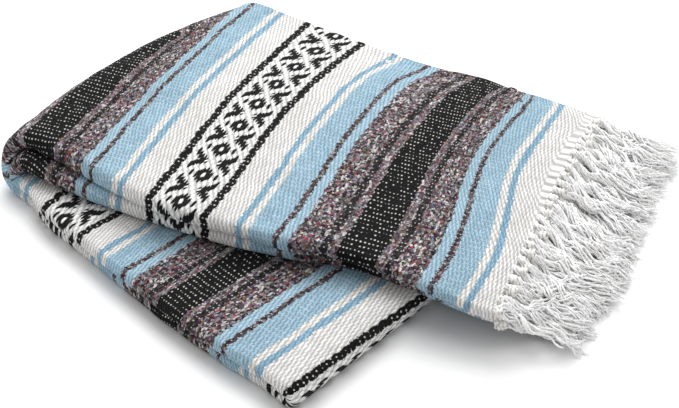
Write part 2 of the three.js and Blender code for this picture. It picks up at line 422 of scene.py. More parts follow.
@dataclass
class FoldPlan:
    """How the blanket lies, in the solid model's own plan, mm.

    The rows are close to the solid model's. Towards the left fold the top leaf's front lies farther back
    here, and the pile is thicker.
    """

    leaf_thick: float = 10.8
    leaf_gap: float = 0.4
    notch_depth: float = 3.0
    top_inset: Inset = Inset()
    third_inset: Inset = Inset()
    bottom_inset: Inset = Inset(3, 3)
    second_back: float = 5.0
    fold_middles: tuple[float, ...] = (5.4, 16.6, 31.0, 45.6)  # of the four leaves, at the left fold
    fold_thicks: tuple[float, ...] = (10.8, 10.8, 14.2, 14.2)
    left_fold: FoldLine = FoldLine((-135, 36), (-75, 338))
    right_fold: FoldLine = FoldLine((156, -108), (229, 185))
    upper_rows: tuple[PackRow, ...] = (
        PackRow((262, 10), (238, 306), 8.0, 6, 14, 0.58),
        PackRow((246, 9), (222, 306), 8.6, 4, 13, 0.62),
        PackRow((207, 12), (188, 307), 9.6, 0, 11, 0.68),
        PackRow((170, 18), (160, 308), 10.5, 0, 8, 0.72, squash=0.05),
        PackRow((140, 20), (138, 309), 11.0, 0, 5, 0.75, squash=0.2),
        PackRow((107, 14), (106, 309), 11.8, 0, 3, 0.8, second_front=8.5, squash=0.34),
        PackRow((55, 14), (60, 315), 12.8, 0, 1, 0.85, second_front=4, squash=0.46, lift=0.3),
        PackRow((0, 14), (2, 327), 13.6, 0, 0, 0.9, second_front=6, squash=0.5, lift=0.8),
        PackRow((-50, 26), (-38, 336), 14.2, second_front=-2, squash=0.48, lift=1.5),
        PackRow((-98, 44), (-60, 338), 14.2, second_front=-12, squash=0.4, lift=1.5),
    )
    upper_fold: PackRow = PackRow((-128, 52), (-75, 338), 14.2, second_front=-12, squash=0.3, lift=1.5)
    lower_rows: tuple[PackRow, ...] = (
        PackRow((-106, 14), (-40, 318)),
        PackRow((-57, -11), (5, 292)),
        PackRow((-10, -35), (50, 268)),
        PackRow((41, -60), (98, 244)),
        PackRow((97, -85), (150, 218)),
        PackRow((134, -98), (196, 199)),
    )
    fold_bow: float = 19.0  # how far the slack of the left fold bows it out, between these places across
    fold_bow_from: float = 30.0
    fold_bow_to: float = 330.0
    turn_steps: int = 8
    origin: np.ndarray = field(init=False)

    def __post_init__(self) -> None:
        """Finds where the plan's origin is in the part's frame, from the solid top leaf."""
        low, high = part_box("cloth_top_leaf")
        self.origin = np.array([high.x / MM - self.upper_rows[0].front[0], low.y / MM - 9.0, 0.0])

    def height(self, leaf: int) -> float:
        """The middle of a leaf where it turns, counted from 0 at the underside."""
        return self.leaf_thick / 2 + leaf * (self.leaf_thick + self.leaf_gap)

    def leaf(
        self, rows: Sequence[PackRow], heights: Sequence[float], up: np.ndarray, insets: Sequence[Inset]
    ) -> Stations:
        """The sections of one leaf.

        Args:
            rows: its rows.
            heights: the height of its middle at each.
            up: which way its own top faces.
            insets: how far its edges lie in at each.

        Returns:
            The sections.
        """
        front = np.array([[*r.front, z] for r, z in zip(rows, heights)], float)
        back = np.array([[*r.back, z] for r, z in zip(rows, heights)], float)
        width = np.linalg.norm(back - front, axis=1)
        across = (back - front) / width[:, None]
        facts = [
            [r.thick, w, inset.front, r.front_drop, r.back_drop, r.back_from, r.squash]
            for r, w, inset in zip(rows, width, insets)
        ]
        ahead = np.array([[inset.front] for inset in insets])
        behind = np.array([[inset.back] for inset in insets])
        return Stations(
            front + across * ahead, back - across * behind, np.tile(up, (len(rows), 1)), np.array(facts)
        )

    def upper(self, is_top: bool) -> Stations:
        """The sections of an upper leaf, from the fringed end to the left fold."""
        rows = [*self.upper_rows, self.upper_fold]
        floor = self.height(2) - self.leaf_thick / 2
        second = [floor + r.lift + r.thick / 2 for r in rows]
        if is_top:
            heights = [z + r.thick + self.leaf_gap for z, r in zip(second, rows)]
            return self.leaf(rows, heights, UP, [self.top_inset] * len(rows))
        return self.leaf(rows, second, -UP, [self.second_inset(r) for r in rows])

    def second_inset(self, row: PackRow) -> Inset:
        """How far the second leaf's edges lie in at a row."""
        return Inset(row.second_front, self.second_back)

    def lower(self, leaf: int) -> Stations:
        """The sections of a lower leaf, 0 or 1, from the left fold to the right one."""
        ends = [PackRow(f.front, f.back) for f in (self.left_fold, self.right_fold)]
        rows = [ends[0], *self.lower_rows, ends[1]]
        up, inset = (-UP, self.bottom_inset) if leaf == 0 else (UP, self.third_inset)
        return self.leaf(rows, [self.height(leaf)] * len(rows), up, [inset] * len(rows))

    def turn(
        self, side: Side, start: int, end: int, faces_outward: bool, insets: tuple[Inset, Inset]
    ) -> Stations:
        """The sections round a fold.

        Args:
            side: where the fold is.
            start: the leaf that the sleeve comes from.
            end: the leaf that it goes to.
            faces_outward: whether its own top is on the outer side of the turn.
            insets: how far in the edges of those two leaves lie.

        Returns:
            The sections.
        """
        lines, middles, thicks = [], [], []
        for leaf in (start, end):
            is_upper = leaf >= 2
            low = self.left_fold if side is Side.LEFT else self.right_fold
            lines.append(np.array([[*(self.upper_fold if is_upper else low).front], [*low.back]], float))
            middles.append(self.fold_middles[leaf])
            thicks.append(self.fold_thicks[leaf])
        middle, radius = sum(middles) / 2, (middles[0] - middles[1]) / 2
        parts = []
        for k in range(self.turn_steps + 1):
            angle = math.pi * k / self.turn_steps
            share = (1 - math.cos(angle)) / 2
            line = lines[0] * (1 - share) + lines[1] * share
            run = (line[1] - line[0]) / np.linalg.norm(line[1] - line[0])
            out = np.array([run[1], -run[0], 0.0]) * side.value
            away = UP * math.cos(angle) * math.copysign(1, radius) + out * math.sin(angle)
            a, b = insets
            inset = Inset(a.front + (b.front - a.front) * share, a.back + (b.back - a.back) * share)
            row = PackRow(
                tuple(line[0]), tuple(line[1]), thicks[0] * (1 - share) + thicks[1] * share,
                squash=self.upper_fold.squash * (
                    1 - share if start >= 2 else share
                ) if side is Side.LEFT else 0.0,
            )
            made = self.leaf([row], [middle], away if faces_outward else -away, [inset])
            made.front += away * abs(radius)
            made.back += away * abs(radius)
            parts.append(made)
        return Stations(
            *(np.concatenate([getattr(p, n) for p in parts]) for n in ("front", "back", "up", "facts"))
        )

    def loosened(self, points: np.ndarray) -> np.ndarray:
        """The points with the left fold's slack, which bows it outwards between its ends.

        Args:
            points: the points, mm.

        Returns:
            The points, mm.
        """
        turn = (points[..., 1] - self.fold_bow_from) / (self.fold_bow_to - self.fold_bow_from)
        bow = self.fold_bow * np.sin(np.clip(turn, 0, 1) * math.pi) ** 0.8
        made = points.copy()
        made[..., 0] -= bow * ease((-15 - points[..., 0]) / 95)
        return made


@dataclass
class RingShape:
    """How the outline of the flat sleeve is sampled, from the slit at its back over its top and round.

    Attributes:
        top: places across its top from front to back, as shares.
        under: the same across its under side.
        round_steps: points round the front edge.
        fold_steps: points round each of the two small folds at the back.
    """

    top: np.ndarray
    under: np.ndarray
    round_steps: int = 12
    fold_steps: int = 5
    fold_turn: float = 0.85 * math.pi
    squareness: float = 0.86

    def outline(self, width: float, thick: float, wall: float, notch: float, slit_front: bool) -> np.ndarray:
        """The outline as pairs of reach from the front edge and height over the middle, mm.

        Args:
            width: the leaf's width.
            thick: its thickness.
            wall: how far inside the cloth's outer face the outline runs.
            notch: how deep the slit at the back is.
            slit_front: whether the front edge has a slit as well.

        Returns:
            The points.
        """
        half = thick / 2 - wall
        small = half / 2
        start, end = thick / 2, width - thick / 4 - wall / 2
        reach = start + self.top * (end - start)
        back = [[end - notch, 0.0]]
        for k in range(self.fold_steps, 0, -1):
            angle = math.pi / 2 - self.fold_turn * k / self.fold_steps
            back.append([end + small * math.cos(angle), small + small * math.sin(angle)])
        top = [[r, half] for r in reach[::-1]]
        if slit_front:
            upper = [[start - (e[0] - end), e[1]] for e in back[:0:-1]]
            front = [*upper, [start + notch, 0.0], *[[r, -z] for r, z in upper[::-1]]]
        else:
            front = []
            for k in range(1, self.round_steps):
                angle = math.pi / 2 - math.pi * k / self.round_steps
                c, s = math.cos(angle), math.sin(angle)
                e = self.squareness
                front.append([start - half * c**e, half * math.copysign(abs(s) ** e, s)])
        under = [[start + s * (end - start), -half] for s in self.under]
        lower = [[r, -z] for r, z in back[:0:-1]]
        return np.array([*back, *top, *front, *under, *lower])


# ---------------------------------------------------------------- where each stripe lies


@dataclass(frozen=True)
class Pull:
    """A soft stretch that draws the stripes along the pile.

    Attributes:
        by: how far, mm.
        length_from: place in the blanket's length where it starts, mm.
        length_to: place in the blanket's length where it is whole.
        across_from: place across the pile where it starts, mm.
        across_to: place across the pile where it is whole.
    """

    by: float
    length_from: float
    length_to: float
    across_from: float
    across_to: float

    def at(self, length: np.ndarray, across: np.ndarray) -> np.ndarray:
        """How far it draws a stripe at a place across the pile.

        Args:
            length: the stripe's place in the blanket's length.
            across: places across the pile.

        Returns:
            The distances, a row for each place across.
        """
        grown = ease((length - self.length_from) / (self.length_to - self.length_from))
        reached = ease((across - self.across_from) / (self.across_to - self.across_from))
        return self.by * reached[:, None] * grown[None]


@dataclass
class StripePlan:
    """Where the cloth's own length and width fall on the pile: evenly, but for a few soft pulls."""

    motif: float = 34.7
    stretch: float = 1.03  # mm of the upper pile for each mm of the blanket's length
    band_at: float = 10.5  # the ornament band's middle on top, at the front edge
    pulls: tuple[Pull, ...] = (
        Pull(-12, -170, -60, 20, 190),  # the whole cloth bows to the left
        Pull(-18, 120, 225, 30, 210),  # more at the fringed end
        Pull(9, -20, 0, 220, 330),  # and swings back at its far edge
        Pull(10, 10, 70, 250, 310),
        Pull(-22, 110, 235, 250, 320),
        Pull(45, -100, -165, 190, 330),  # the turn's slack
        Pull(6, -75, -125, 10, 20),
    )
    lower_stretch: float = 1.067
    lower_fold: float = -137.0  # place along the pile of the left fold's stripe on the third leaf
    lower_fold_length: float = -897.0
    lower_skew: float = 0.29  # how much the third leaf's stripes lean
    lower_bend: float = 70.0  # place across where they lean less
    first_diamond: float = 28.0  # across the top leaf, mm
    near_motif: float = 39.3  # the motif's length there, longer where the pile faces forward
    crowding: float = 0.545

    @staticmethod
    def _between(x: np.ndarray, lines: np.ndarray, values: np.ndarray) -> np.ndarray:
        """The value at each x, where each has its own rising row of lines.

        Args:
            x: the places.
            lines: for each place, where the known lines are.
            values: the lines' values.

        Returns:
            The values, carried on past the ends.
        """
        i = np.clip((lines < x[:, None]).sum(1) - 1, 0, lines.shape[1] - 2)
        n = np.arange(len(x))
        low, high = lines[n, i], lines[n, i + 1]
        return values[i] + (x - low) / (high - low) * (values[i + 1] - values[i])

    def upper_length(self, x: np.ndarray, y: np.ndarray) -> np.ndarray:
        """The place in the blanket's length at a place of the top leaf, mm."""
        lengths = np.arange(-190.0, 271.0, 10.0)
        across = np.clip(y.ravel(), 15, 335)
        lines = np.tile(self.band_at + self.stretch * lengths, (across.size, 1))
        for pull in self.pulls:
            lines += pull.at(lengths, across)
        return self._between(x.ravel(), lines, lengths).reshape(x.shape)

    def lower_length(self, x: np.ndarray, y: np.ndarray) -> np.ndarray:
        """The place in the blanket's length at a place of the third leaf, mm."""
        lengths = np.arange(-930.0, -539.0, 10.0)
        flat = y.ravel()[:, None]
        lean = self.lower_skew * (0.35 + 0.65 * ease((lengths - self.lower_fold_length) / 90))
        lines = self.lower_fold + self.lower_stretch * (lengths - self.lower_fold_length)
        # the cloth is pulled a little to the left before its right fold
        lines = lines - 10 * np.sin(np.clip((lengths + 740) / 160, 0, 1) * math.pi)
        lines = lines + lean * np.minimum(flat, self.lower_bend) + 0.2 * np.maximum(flat - self.lower_bend, 0)
        return self._between(x.ravel(), lines, lengths).reshape(x.shape)

    def upper_width(self, y: np.ndarray) -> np.ndarray:
        """The place in the blanket's width at a place across an upper leaf, mm from the first diamond."""
        far = (self.near_motif / (2 * self.crowding)) ** 2
        past = np.minimum((y - self.first_diamond) / self.crowding, 0.9 * far)
        return self.motif * (math.sqrt(far) - np.sqrt(far - past))

    def lower_width(self, reach: np.ndarray) -> np.ndarray:
        """The place in the blanket's width at a reach from the front edge of a lower leaf, mm."""
        return (reach - 4.0) * 0.94


# ---------------------------------------------------------------- finishes


@dataclass(frozen=True)
class Stripe:
    """One colour of weft in the repeat.

    Attributes:
        start: where it starts, mm from the middle of the ornament band.
        colour: the yarn's colour, sRGB hex.
        melange: how much of it is spun from mixed waste fibre, from 0 to 1.
        dark: how much darker the mixed fibre is than usual.
        pins: how much the warp shows as pin dots.
    """

    start: float
    colour: str
    melange: float = 0.0
    dark: float = 0.0
    pins: float = 0.0


@dataclass(frozen=True)
class FalsaCloth:
    """Weft-faced plain weave of soft spun acrylic and recycled cotton, as hand looms make a falsa blanket.

    Thick weft beads lie in a brick pattern over a thin white warp that shows between them as pin dots, with a
    dull nap, no gloss, and a charted ornament in the white band.
    """

    pick: float = 280 / 188  # mm between weft yarns
    warp: float = 4.75  # mm between warp yarns
    band_pick: float = 2.4  # mm between the doubled wefts of the ornament
    motif: float = 34.7
    half_repeat: float = 140.0
    bead_depth: float = 0.0009
    stripes: tuple[Stripe, ...] = (
        Stripe(0, "F9F8F6"),
        Stripe(20.0, "0E0E10", pins=1.0),
        Stripe(26.0, "F8F6F3"),
        Stripe(47.5, "93BCD6", pins=0.25),
        Stripe(52.5, "F8F5F0"),
        Stripe(57.5, "A8CBDF", pins=0.6),
        Stripe(77.5, "5C464E", melange=0.7, dark=0.35, pins=0.7),
        Stripe(82.0, "AFD0E3", pins=0.3),
        Stripe(90.0, "6E6468", melange=1.0, dark=0.12, pins=0.5),
        Stripe(112.0, "111013", melange=0.1, pins=0.8),
        Stripe(117.5, "8C7E84", melange=0.85, pins=0.5),
        Stripe(124.5, "0B0B0C", pins=1.0),
    )
    # mixed fibre, from its commonest shades to its rare bright ones
    fibres: tuple[tuple[float, str], ...] = (
        (0.00, "625A60"),
        (0.14, "2B2428"),
        (0.28, "9A9096"),
        (0.38, "6F5962"),
        (0.48, "DAD5D4"),
        (0.57, "3E3F45"),
        (0.66, "6A2836"),
        (0.73, "8D9A98"),
        (0.80, "A18A98"),
        (0.86, "7C7044"),
        (0.90, "B04E60"),
        (0.94, "5A7AA6"),
        (0.965, "F0ECE8"),
    )
    # the ornament's rows: half width of the black, and half width of the white eye or gap within it, mm
    diamond: tuple[tuple[float, float], ...] = ((8.8, 2.1), (7.6, 0.0), (4.6, 0.0), (0.0, 0.0), (3.0, 0.0))
    fork: tuple[tuple[float, float], ...] = (
        (0.0, 0.0),
        (0.0, 0.0),
        (2.8, 0.6),
        (4.6, 0.0),
        (7.0, 0.0),
        (9.4, 1.3),
        (12.6, 4.2),
    )

    def build(self) -> bpy.types.Material:
        """Makes the material.

        Returns:
            The material, for pieces with a cloth_plan UV map in metres of the blanket's length and width.
        """
        material, tree = new_material("falsa_weft_faced_weave")
        plan = add_node(tree, "ShaderNodeUVMap", uv_map="cloth_plan").outputs["UV"]
        signed, across = self._cloth_place(tree, plan)
        bead = self._beads(tree, signed, across)
        dot = self._pin_dots(tree, plan, bead)
        colour, melange, dark, pins = self._weft(tree, plan, bead)
        black = self._ornament(tree, signed, across, bead)
        colour = add_node(
            tree, "ShaderNodeMix", {0: black, 6: colour, 7: linear("161618")}, data_type="RGBA"
        ).outputs[2]
        shaded = self._shaded(tree, plan, bead, colour, dark)
        warp_shows = add_node(tree, "ShaderNodeMath", {0: dot, 1: pins}, operation="MULTIPLY").outputs[0]
        colour = add_node(
            tree, "ShaderNodeMix", {0: warp_shows, 6: shaded, 7: linear("F2EFEA")}, data_type="RGBA"
        ).outputs[2]
        fibres = add_node(
            tree,
            "ShaderNodeTexNoise",
            {"Vector": plan, "Scale": 1900.0, "Detail": 3.0, "Roughness": 0.6},
            noise_dimensions="2D",
        ).outputs[0]
        relief = add_node(
            tree, "ShaderNodeMath", {0: fibres, 1: 0.8, 2: bead["height"]}, operation="MULTIPLY_ADD"
        ).outputs[0]
        bump = add_node(
            tree, "ShaderNodeBump", {"Height": relief, "Strength": 0.8, "Distance": self.bead_depth}
        ).outputs[0]
        shader = add_node(
            tree,
            "ShaderNodeBsdfPrincipled",
            {
                "Base Color": colour,
                "Roughness": 0.92,
                "Normal": bump,
                "Specular IOR Level": 0.08,
                "Sheen Weight": 0.04,
                "Sheen Roughness": 0.6,
            },
        )
        add_node(tree, "ShaderNodeOutputMaterial", {"Surface": shader.outputs[0]})
        return material

    def _cloth_place(self, tree: bpy.types.NodeTree, plan: Any) -> tuple[Any, Any]:
        """Where a point is in the pattern.

        Args:
            tree: the material's nodes.
            plan: the cloth's own coordinates.

        Returns:
            The signed distance from the nearest ornament band's middle and the distance across the cloth, mm.
        """
        # the wefts are beaten in by hand, so rows wander by about a millimetre
        wander = add_node(
            tree, "ShaderNodeTexNoise", {
                "Vector": plan, "Scale": 40.0, "Detail": 3.5, "Roughness": 0.62
            }, noise_dimensions="2D"
        )
        shift = add_node(
            tree, "ShaderNodeVectorMath", {0: wander.outputs["Color"], 1: (-0.5, -0.5, -0.5)}, operation="ADD"
        )
        moved = add_node(
            tree,
            "ShaderNodeVectorMath",
            {0: shift.outputs[0], 1: (0.0034, 0.0026, 0.0), 2: plan},
            operation="MULTIPLY_ADD",
        )
        axes = add_node(tree, "ShaderNodeSeparateXYZ", {0: moved.outputs[0]})
        repeat = 2 * self.half_repeat
        turns = add_node(tree, "ShaderNodeMath", {0: axes.outputs[0], 1: repeat * MM}, operation="DIVIDE")
        nearest = add_node(tree, "ShaderNodeMath", {0: turns.outputs[0]}, operation="ROUND")
        share = add_node(
            tree, "ShaderNodeMath", {0: turns.outputs[0], 1: nearest.outputs[0]}, operation="SUBTRACT"
        )
        signed = add_node(tree, "ShaderNodeMath", {0: share.outputs[0], 1: repeat}, operation="MULTIPLY")
        across = add_node(tree, "ShaderNodeMath", {0: axes.outputs[1], 1: MM}, operation="DIVIDE")
        return signed.outputs[0], across.outputs[0]

    def _beads(self, tree: bpy.types.NodeTree, signed: Any, across: Any) -> dict[str, Any]:
        """The brick pattern of weft beads.

        Args:
            tree: the material's nodes.
            signed: distance from the ornament band's middle, mm.
            across: distance across the cloth, mm.

        Returns:
            Sockets: the bead's row and column, the place within it, its height and the spacing of the wefts.
        """
        # the ornament is woven with doubled, longer wefts
        away = add_node(tree, "ShaderNodeMath", {0: signed}, operation="ABSOLUTE").outputs[0]
        in_band = add_node(tree, "ShaderNodeMath", {0: away, 1: 19.4}, operation="LESS_THAN").outputs[0]
        pick = add_node(tree, "ShaderNodeMix", {0: in_band, 2: self.pick, 3: self.band_pick}).outputs[0]
        warp = add_node(tree, "ShaderNodeMix", {0: in_band, 2: self.warp, 3: self.motif / 8}).outputs[0]
        row = add_node(tree, "ShaderNodeMath", {0: signed, 1: pick}, operation="DIVIDE").outputs[0]
        column = add_node(tree, "ShaderNodeMath", {0: across, 1: warp}, operation="DIVIDE").outputs[0]

        # nearest bead of the brick pattern: rows and columns whose numbers add up to an even one
        halves = []
        for operation in ("ADD", "SUBTRACT"):
            both = add_node(tree, "ShaderNodeMath", {0: row, 1: column}, operation=operation)
            half = add_node(tree, "ShaderNodeMath", {0: both.outputs[0], 1: 0.5}, operation="MULTIPLY")
            halves.append(
                add_node(tree, "ShaderNodeMath", {0: half.outputs[0]}, operation="ROUND").outputs[0]
            )
        bead_row = add_node(tree, "ShaderNodeMath", {0: halves[0], 1: halves[1]}, operation="ADD").outputs[0]
        bead_column = add_node(
            tree, "ShaderNodeMath", {0: halves[0], 1: halves[1]}, operation="SUBTRACT"
        ).outputs[0]
        down = add_node(tree, "ShaderNodeMath", {0: row, 1: bead_row}, operation="SUBTRACT").outputs[0]
        along = add_node(tree, "ShaderNodeMath", {0: column, 1: bead_column}, operation="SUBTRACT").outputs[0]

        # a bead leans with the yarn's twist and swells in its middle
        leaning = add_node(tree, "ShaderNodeMath", {0: along, 1: 0.32, 2: down}, operation="MULTIPLY_ADD")
        place = add_node(tree, "ShaderNodeCombineXYZ", {0: leaning.outputs[0], 1: along})
        sized = add_node(
            tree, "ShaderNodeVectorMath", {0: place.outputs[0], 1: (1.22, 1.08, 1.0)}, operation="MULTIPLY"
        )
        reach = add_node(
            tree, "ShaderNodeVectorMath", {0: sized.outputs[0]}, operation="LENGTH"
        ).outputs["Value"]
        height = add_node(
            tree,
            "ShaderNodeMapRange",
            {"Value": reach, "From Min": 1.0, "From Max": 0.1, "To Min": 0.0, "To Max": 1.0},
            interpolation_type="SMOOTHERSTEP",
        ).outputs[0]
        return {
            "row": bead_row, "column": bead_column, "down": down, "along": along,
            "height": height, "pick": pick, "in_band": in_band,
        }

    def _pin_dots(self, tree: bpy.types.NodeTree, plan: Any, bead: dict[str, Any]) -> Any:
        """The white warp that shows at the odd places between beads.

        Args:
            tree: the material's nodes.
            plan: the cloth's own coordinates.
            bead: the sockets of _beads().

        Returns:
            How much warp shows, from 0 to 1.
        """
        offs = [
            add_node(tree, "ShaderNodeMath", {0: bead[n]}, operation="ABSOLUTE").outputs[0]
            for n in ("down", "along")
        ]
        gaps = [
            add_node(tree, "ShaderNodeMath", {0: 1.0, 1: off}, operation="SUBTRACT").outputs[0]
            for off in offs
        ]
        lengths = []
        for near, far in ((gaps[0], offs[1]), (offs[0], gaps[1])):
            place = add_node(tree, "ShaderNodeCombineXYZ", {0: near, 1: far})
            sized = add_node(
                tree, "ShaderNodeVectorMath", {0: place.outputs[0], 1: (1.5, 4.75, 1.0)}, operation="MULTIPLY"
            )
            lengths.append(
                add_node(
                    tree, "ShaderNodeVectorMath", {0: sized.outputs[0]}, operation="LENGTH"
                ).outputs["Value"]
            )
        nearest = add_node(
            tree, "ShaderNodeMath", {0: lengths[0], 1: lengths[1]}, operation="MINIMUM"
        ).outputs[0]
        # wefts cover some crossings more than others
        some = add_node(
            tree, "ShaderNodeTexNoise", {"Vector": plan, "Scale": 330.0, "Detail": 0.0}, noise_dimensions="2D"
        )
        size = add_node(
            tree,
            "ShaderNodeMapRange",
            {"Value": some.outputs[0], "From Min": 0.36, "From Max": 0.64, "To Min": 0.4, "To Max": 1.05},
        ).outputs[0]
        shown = add_node(
            tree,
            "ShaderNodeMapRange",
            {"Value": nearest, "From Min": size, "From Max": 0.15, "To Min": 0.0, "To Max": 1.0},
        ).outputs[0]
        open_weave = add_node(
            tree, "ShaderNodeMapRange", {"Value": some.outputs[0], "From Min": 0.34, "From Max": 0.5}
        ).outputs[0]
        return add_node(tree, "ShaderNodeMath", {0: shown, 1: open_weave}, operation="MULTIPLY").outputs[0]

    def _weft(self, tree: bpy.types.NodeTree, plan: Any, bead: dict[str, Any]) -> tuple[Any, Any, Any, Any]:
        """The weft's colour, which is the bead's own, so that stripes meet in small steps.

        Args:
            tree: the material's nodes.
            plan: the cloth's own coordinates.
            bead: the sockets of _beads().

        Returns:
            The colour, and how much melange, darkening and pin dots the stripe has.
        """
        # the colour changes with the bead's row, blurred a little as fibres of one row lie over the next
        fuzz = add_node(
            tree, "ShaderNodeTexNoise", {"Vector": plan, "Scale": 420.0, "Detail": 2.0}, noise_dimensions="2D"
        ).outputs[0]
        shed = add_node(tree, "ShaderNodeMath", {0: fuzz, 1: -0.5}, operation="ADD").outputs[0]
        eased = add_node(
            tree, "ShaderNodeMath", {0: bead["down"], 1: 0.45, 2: bead["row"]}, operation="MULTIPLY_ADD"
        ).outputs[0]
        rough = add_node(
            tree, "ShaderNodeMath", {0: shed, 1: 2.2, 2: eased}, operation="MULTIPLY_ADD"
        ).outputs[0]
        signed = add_node(tree, "ShaderNodeMath", {0: rough, 1: bead["pick"]}, operation="MULTIPLY")
        away = add_node(
            tree, "ShaderNodeMath", {0: signed.outputs[0], 1: self.half_repeat}, operation="PINGPONG"
        )
        place = add_node(
            tree, "ShaderNodeMath", {0: away.outputs[0], 1: self.half_repeat}, operation="DIVIDE"
        )
        colour = add_node(tree, "ShaderNodeValToRGB", {0: place.outputs[0]})
        fill_ramp(colour, [(s.start / self.half_repeat, linear(s.colour)) for s in self.stripes])
        kinds = add_node(tree, "ShaderNodeValToRGB", {0: place.outputs[0]})
        fill_ramp(kinds, [(s.start / self.half_repeat, (s.melange, s.dark, s.pins)) for s in self.stripes])
        kind = add_node(tree, "ShaderNodeSeparateColor", {0: kinds.outputs[0]})

        # mixed fibre: short lengths of many shades along the yarn, about 2 mm by 1 mm
        stretched = add_node(
            tree, "ShaderNodeVectorMath", {0: plan, 1: (0.80, 0.50, 1.0)}, operation="MULTIPLY"
        )
        specks = add_node(
            tree,
            "ShaderNodeTexVoronoi",
            {"Vector": stretched.outputs[0], "Scale": 760.0, "Randomness": 1.0},
            voronoi_dimensions="2D",
        )
        speck = add_node(tree, "ShaderNodeSeparateColor", {0: specks.outputs["Color"]})
        clouds = add_node(
            tree, "ShaderNodeTexNoise", {"Vector": plan, "Scale": 60.0, "Detail": 2.0}, noise_dimensions="2D"
        )
        drift = add_node(
            tree,
            "ShaderNodeMapRange",
            {"Value": clouds.outputs[0], "From Min": 0.3, "From Max": 0.7, "To Min": -0.1, "To Max": 0.1},
        )
        shade = add_node(tree, "ShaderNodeMath", {0: speck.outputs[0], 1: drift.outputs[0]}, operation="ADD")
        fibre = add_node(tree, "ShaderNodeValToRGB", {0: shade.outputs[0]})
        fill_ramp(fibre, [(p, linear(c)) for p, c in self.fibres])
        mixed = add_node(
            tree,
            "ShaderNodeMix",
            {0: kind.outputs[0], 6: colour.outputs[0], 7: fibre.outputs[0]},
            data_type="RGBA",
        )
        return mixed.outputs[2], kind.outputs[0], kind.outputs[1], kind.outputs[2]

    def _ornament(self, tree: bpy.types.NodeTree, signed: Any, across: Any, bead: dict[str, Any]) -> Any:
        """The charted ornament: a row of diamonds, with a three-pronged fork on each side between them.

        Args:
            tree: the material's nodes.
            signed: distance from the band's middle, mm.
            across: distance across the cloth, mm.
            bead: the sockets of _beads().

        Returns:
            Where the black weft shows, 0 or 1.
        """
        rows = add_node(tree, "ShaderNodeMath", {0: signed, 1: self.band_pick}, operation="DIVIDE").outputs[0]
        row = add_node(tree, "ShaderNodeMath", {0: rows}, operation="ROUND").outputs[0]
        within = add_node(tree, "ShaderNodeMath", {0: rows, 1: row}, operation="SUBTRACT").outputs[0]
        within_off = add_node(tree, "ShaderNodeMath", {0: within}, operation="ABSOLUTE").outputs[0]
        row_off = add_node(tree, "ShaderNodeMath", {0: row}, operation="ABSOLUTE").outputs[0]
        place = add_node(tree, "ShaderNodeMath", {0: row_off, 1: 0.5}, operation="ADD")
        look = add_node(
            tree, "ShaderNodeMath", {0: place.outputs[0], 1: 0.1}, operation="MULTIPLY"
        ).outputs[0]
        # yarns lean, so each row's figure slides a little as it rises
        # and its edges follow the beads, which are half as wide as the smallest figure
        own = add_node(
            tree, "ShaderNodeMath", {0: bead["along"], 1: -0.42 * self.motif / 8}, operation="MULTIPLY"
        )
        stepped = add_node(tree, "ShaderNodeMath", {0: own.outputs[0], 1: across}, operation="ADD").outputs[0]
        slid = add_node(
            tree, "ShaderNodeMath", {0: within, 1: -1.6, 2: stepped}, operation="MULTIPLY_ADD"
        ).outputs[0]
        figures = []
        for chart, half in ((self.diamond, 0.0), (self.fork, 0.5)):
            turns = add_node(tree, "ShaderNodeMath", {0: slid, 1: self.motif}, operation="DIVIDE").outputs[0]
            moved = add_node(tree, "ShaderNodeMath", {0: turns, 1: half}, operation="ADD").outputs[0]
            nearest = add_node(tree, "ShaderNodeMath", {0: moved}, operation="ROUND").outputs[0]
            share = add_node(tree, "ShaderNodeMath", {0: moved, 1: nearest}, operation="SUBTRACT").outputs[0]
            size = add_node(tree, "ShaderNodeMath", {0: share}, operation="ABSOLUTE").outputs[0]
            off = add_node(tree, "ShaderNodeMath", {0: size, 1: self.motif}, operation="MULTIPLY").outputs[0]
            table = add_node(tree, "ShaderNodeValToRGB", {0: look})
            stops = [(k / 10, (outer / 20, inner / 20, 0.0)) for k, (outer, inner) in enumerate(chart)]
            fill_ramp(table, [*stops, (len(chart) / 10, (0.0, 0.0, 0.0))])
            widths = add_node(tree, "ShaderNodeSeparateColor", {0: table.outputs[0]})
            # a yarn's ends taper, so the half width shrinks away from the row's middle
            outer = add_node(
                tree, "ShaderNodeMath", {0: widths.outputs[0], 1: 20.0}, operation="MULTIPLY"
            ).outputs[0]
            taper = add_node(
                tree, "ShaderNodeMath", {0: within_off, 1: -4.2, 2: outer}, operation="MULTIPLY_ADD"
            ).outputs[0]
            reach = add_node(tree, "ShaderNodeMath", {0: taper, 1: 1.6}, operation="ADD").outputs[0]
            inner = add_node(
                tree, "ShaderNodeMath", {0: widths.outputs[1], 1: 20.0}, operation="MULTIPLY"
            ).outputs[0]
            inside = add_node(tree, "ShaderNodeMath", {0: off, 1: reach}, operation="LESS_THAN").outputs[0]
            outside = add_node(
                tree, "ShaderNodeMath", {0: off, 1: inner}, operation="GREATER_THAN"
            ).outputs[0]
            drawn = add_node(tree, "ShaderNodeMath", {0: outer, 1: 0.5}, operation="GREATER_THAN").outputs[0]
            ring = add_node(tree, "ShaderNodeMath", {0: inside, 1: outside}, operation="MULTIPLY").outputs[0]
            figures.append(
                add_node(tree, "ShaderNodeMath", {0: ring, 1: drawn}, operation="MULTIPLY").outputs[0]
            )
        return add_node(
            tree, "ShaderNodeMath", {0: figures[0], 1: figures[1]}, operation="MAXIMUM"
        ).outputs[0]

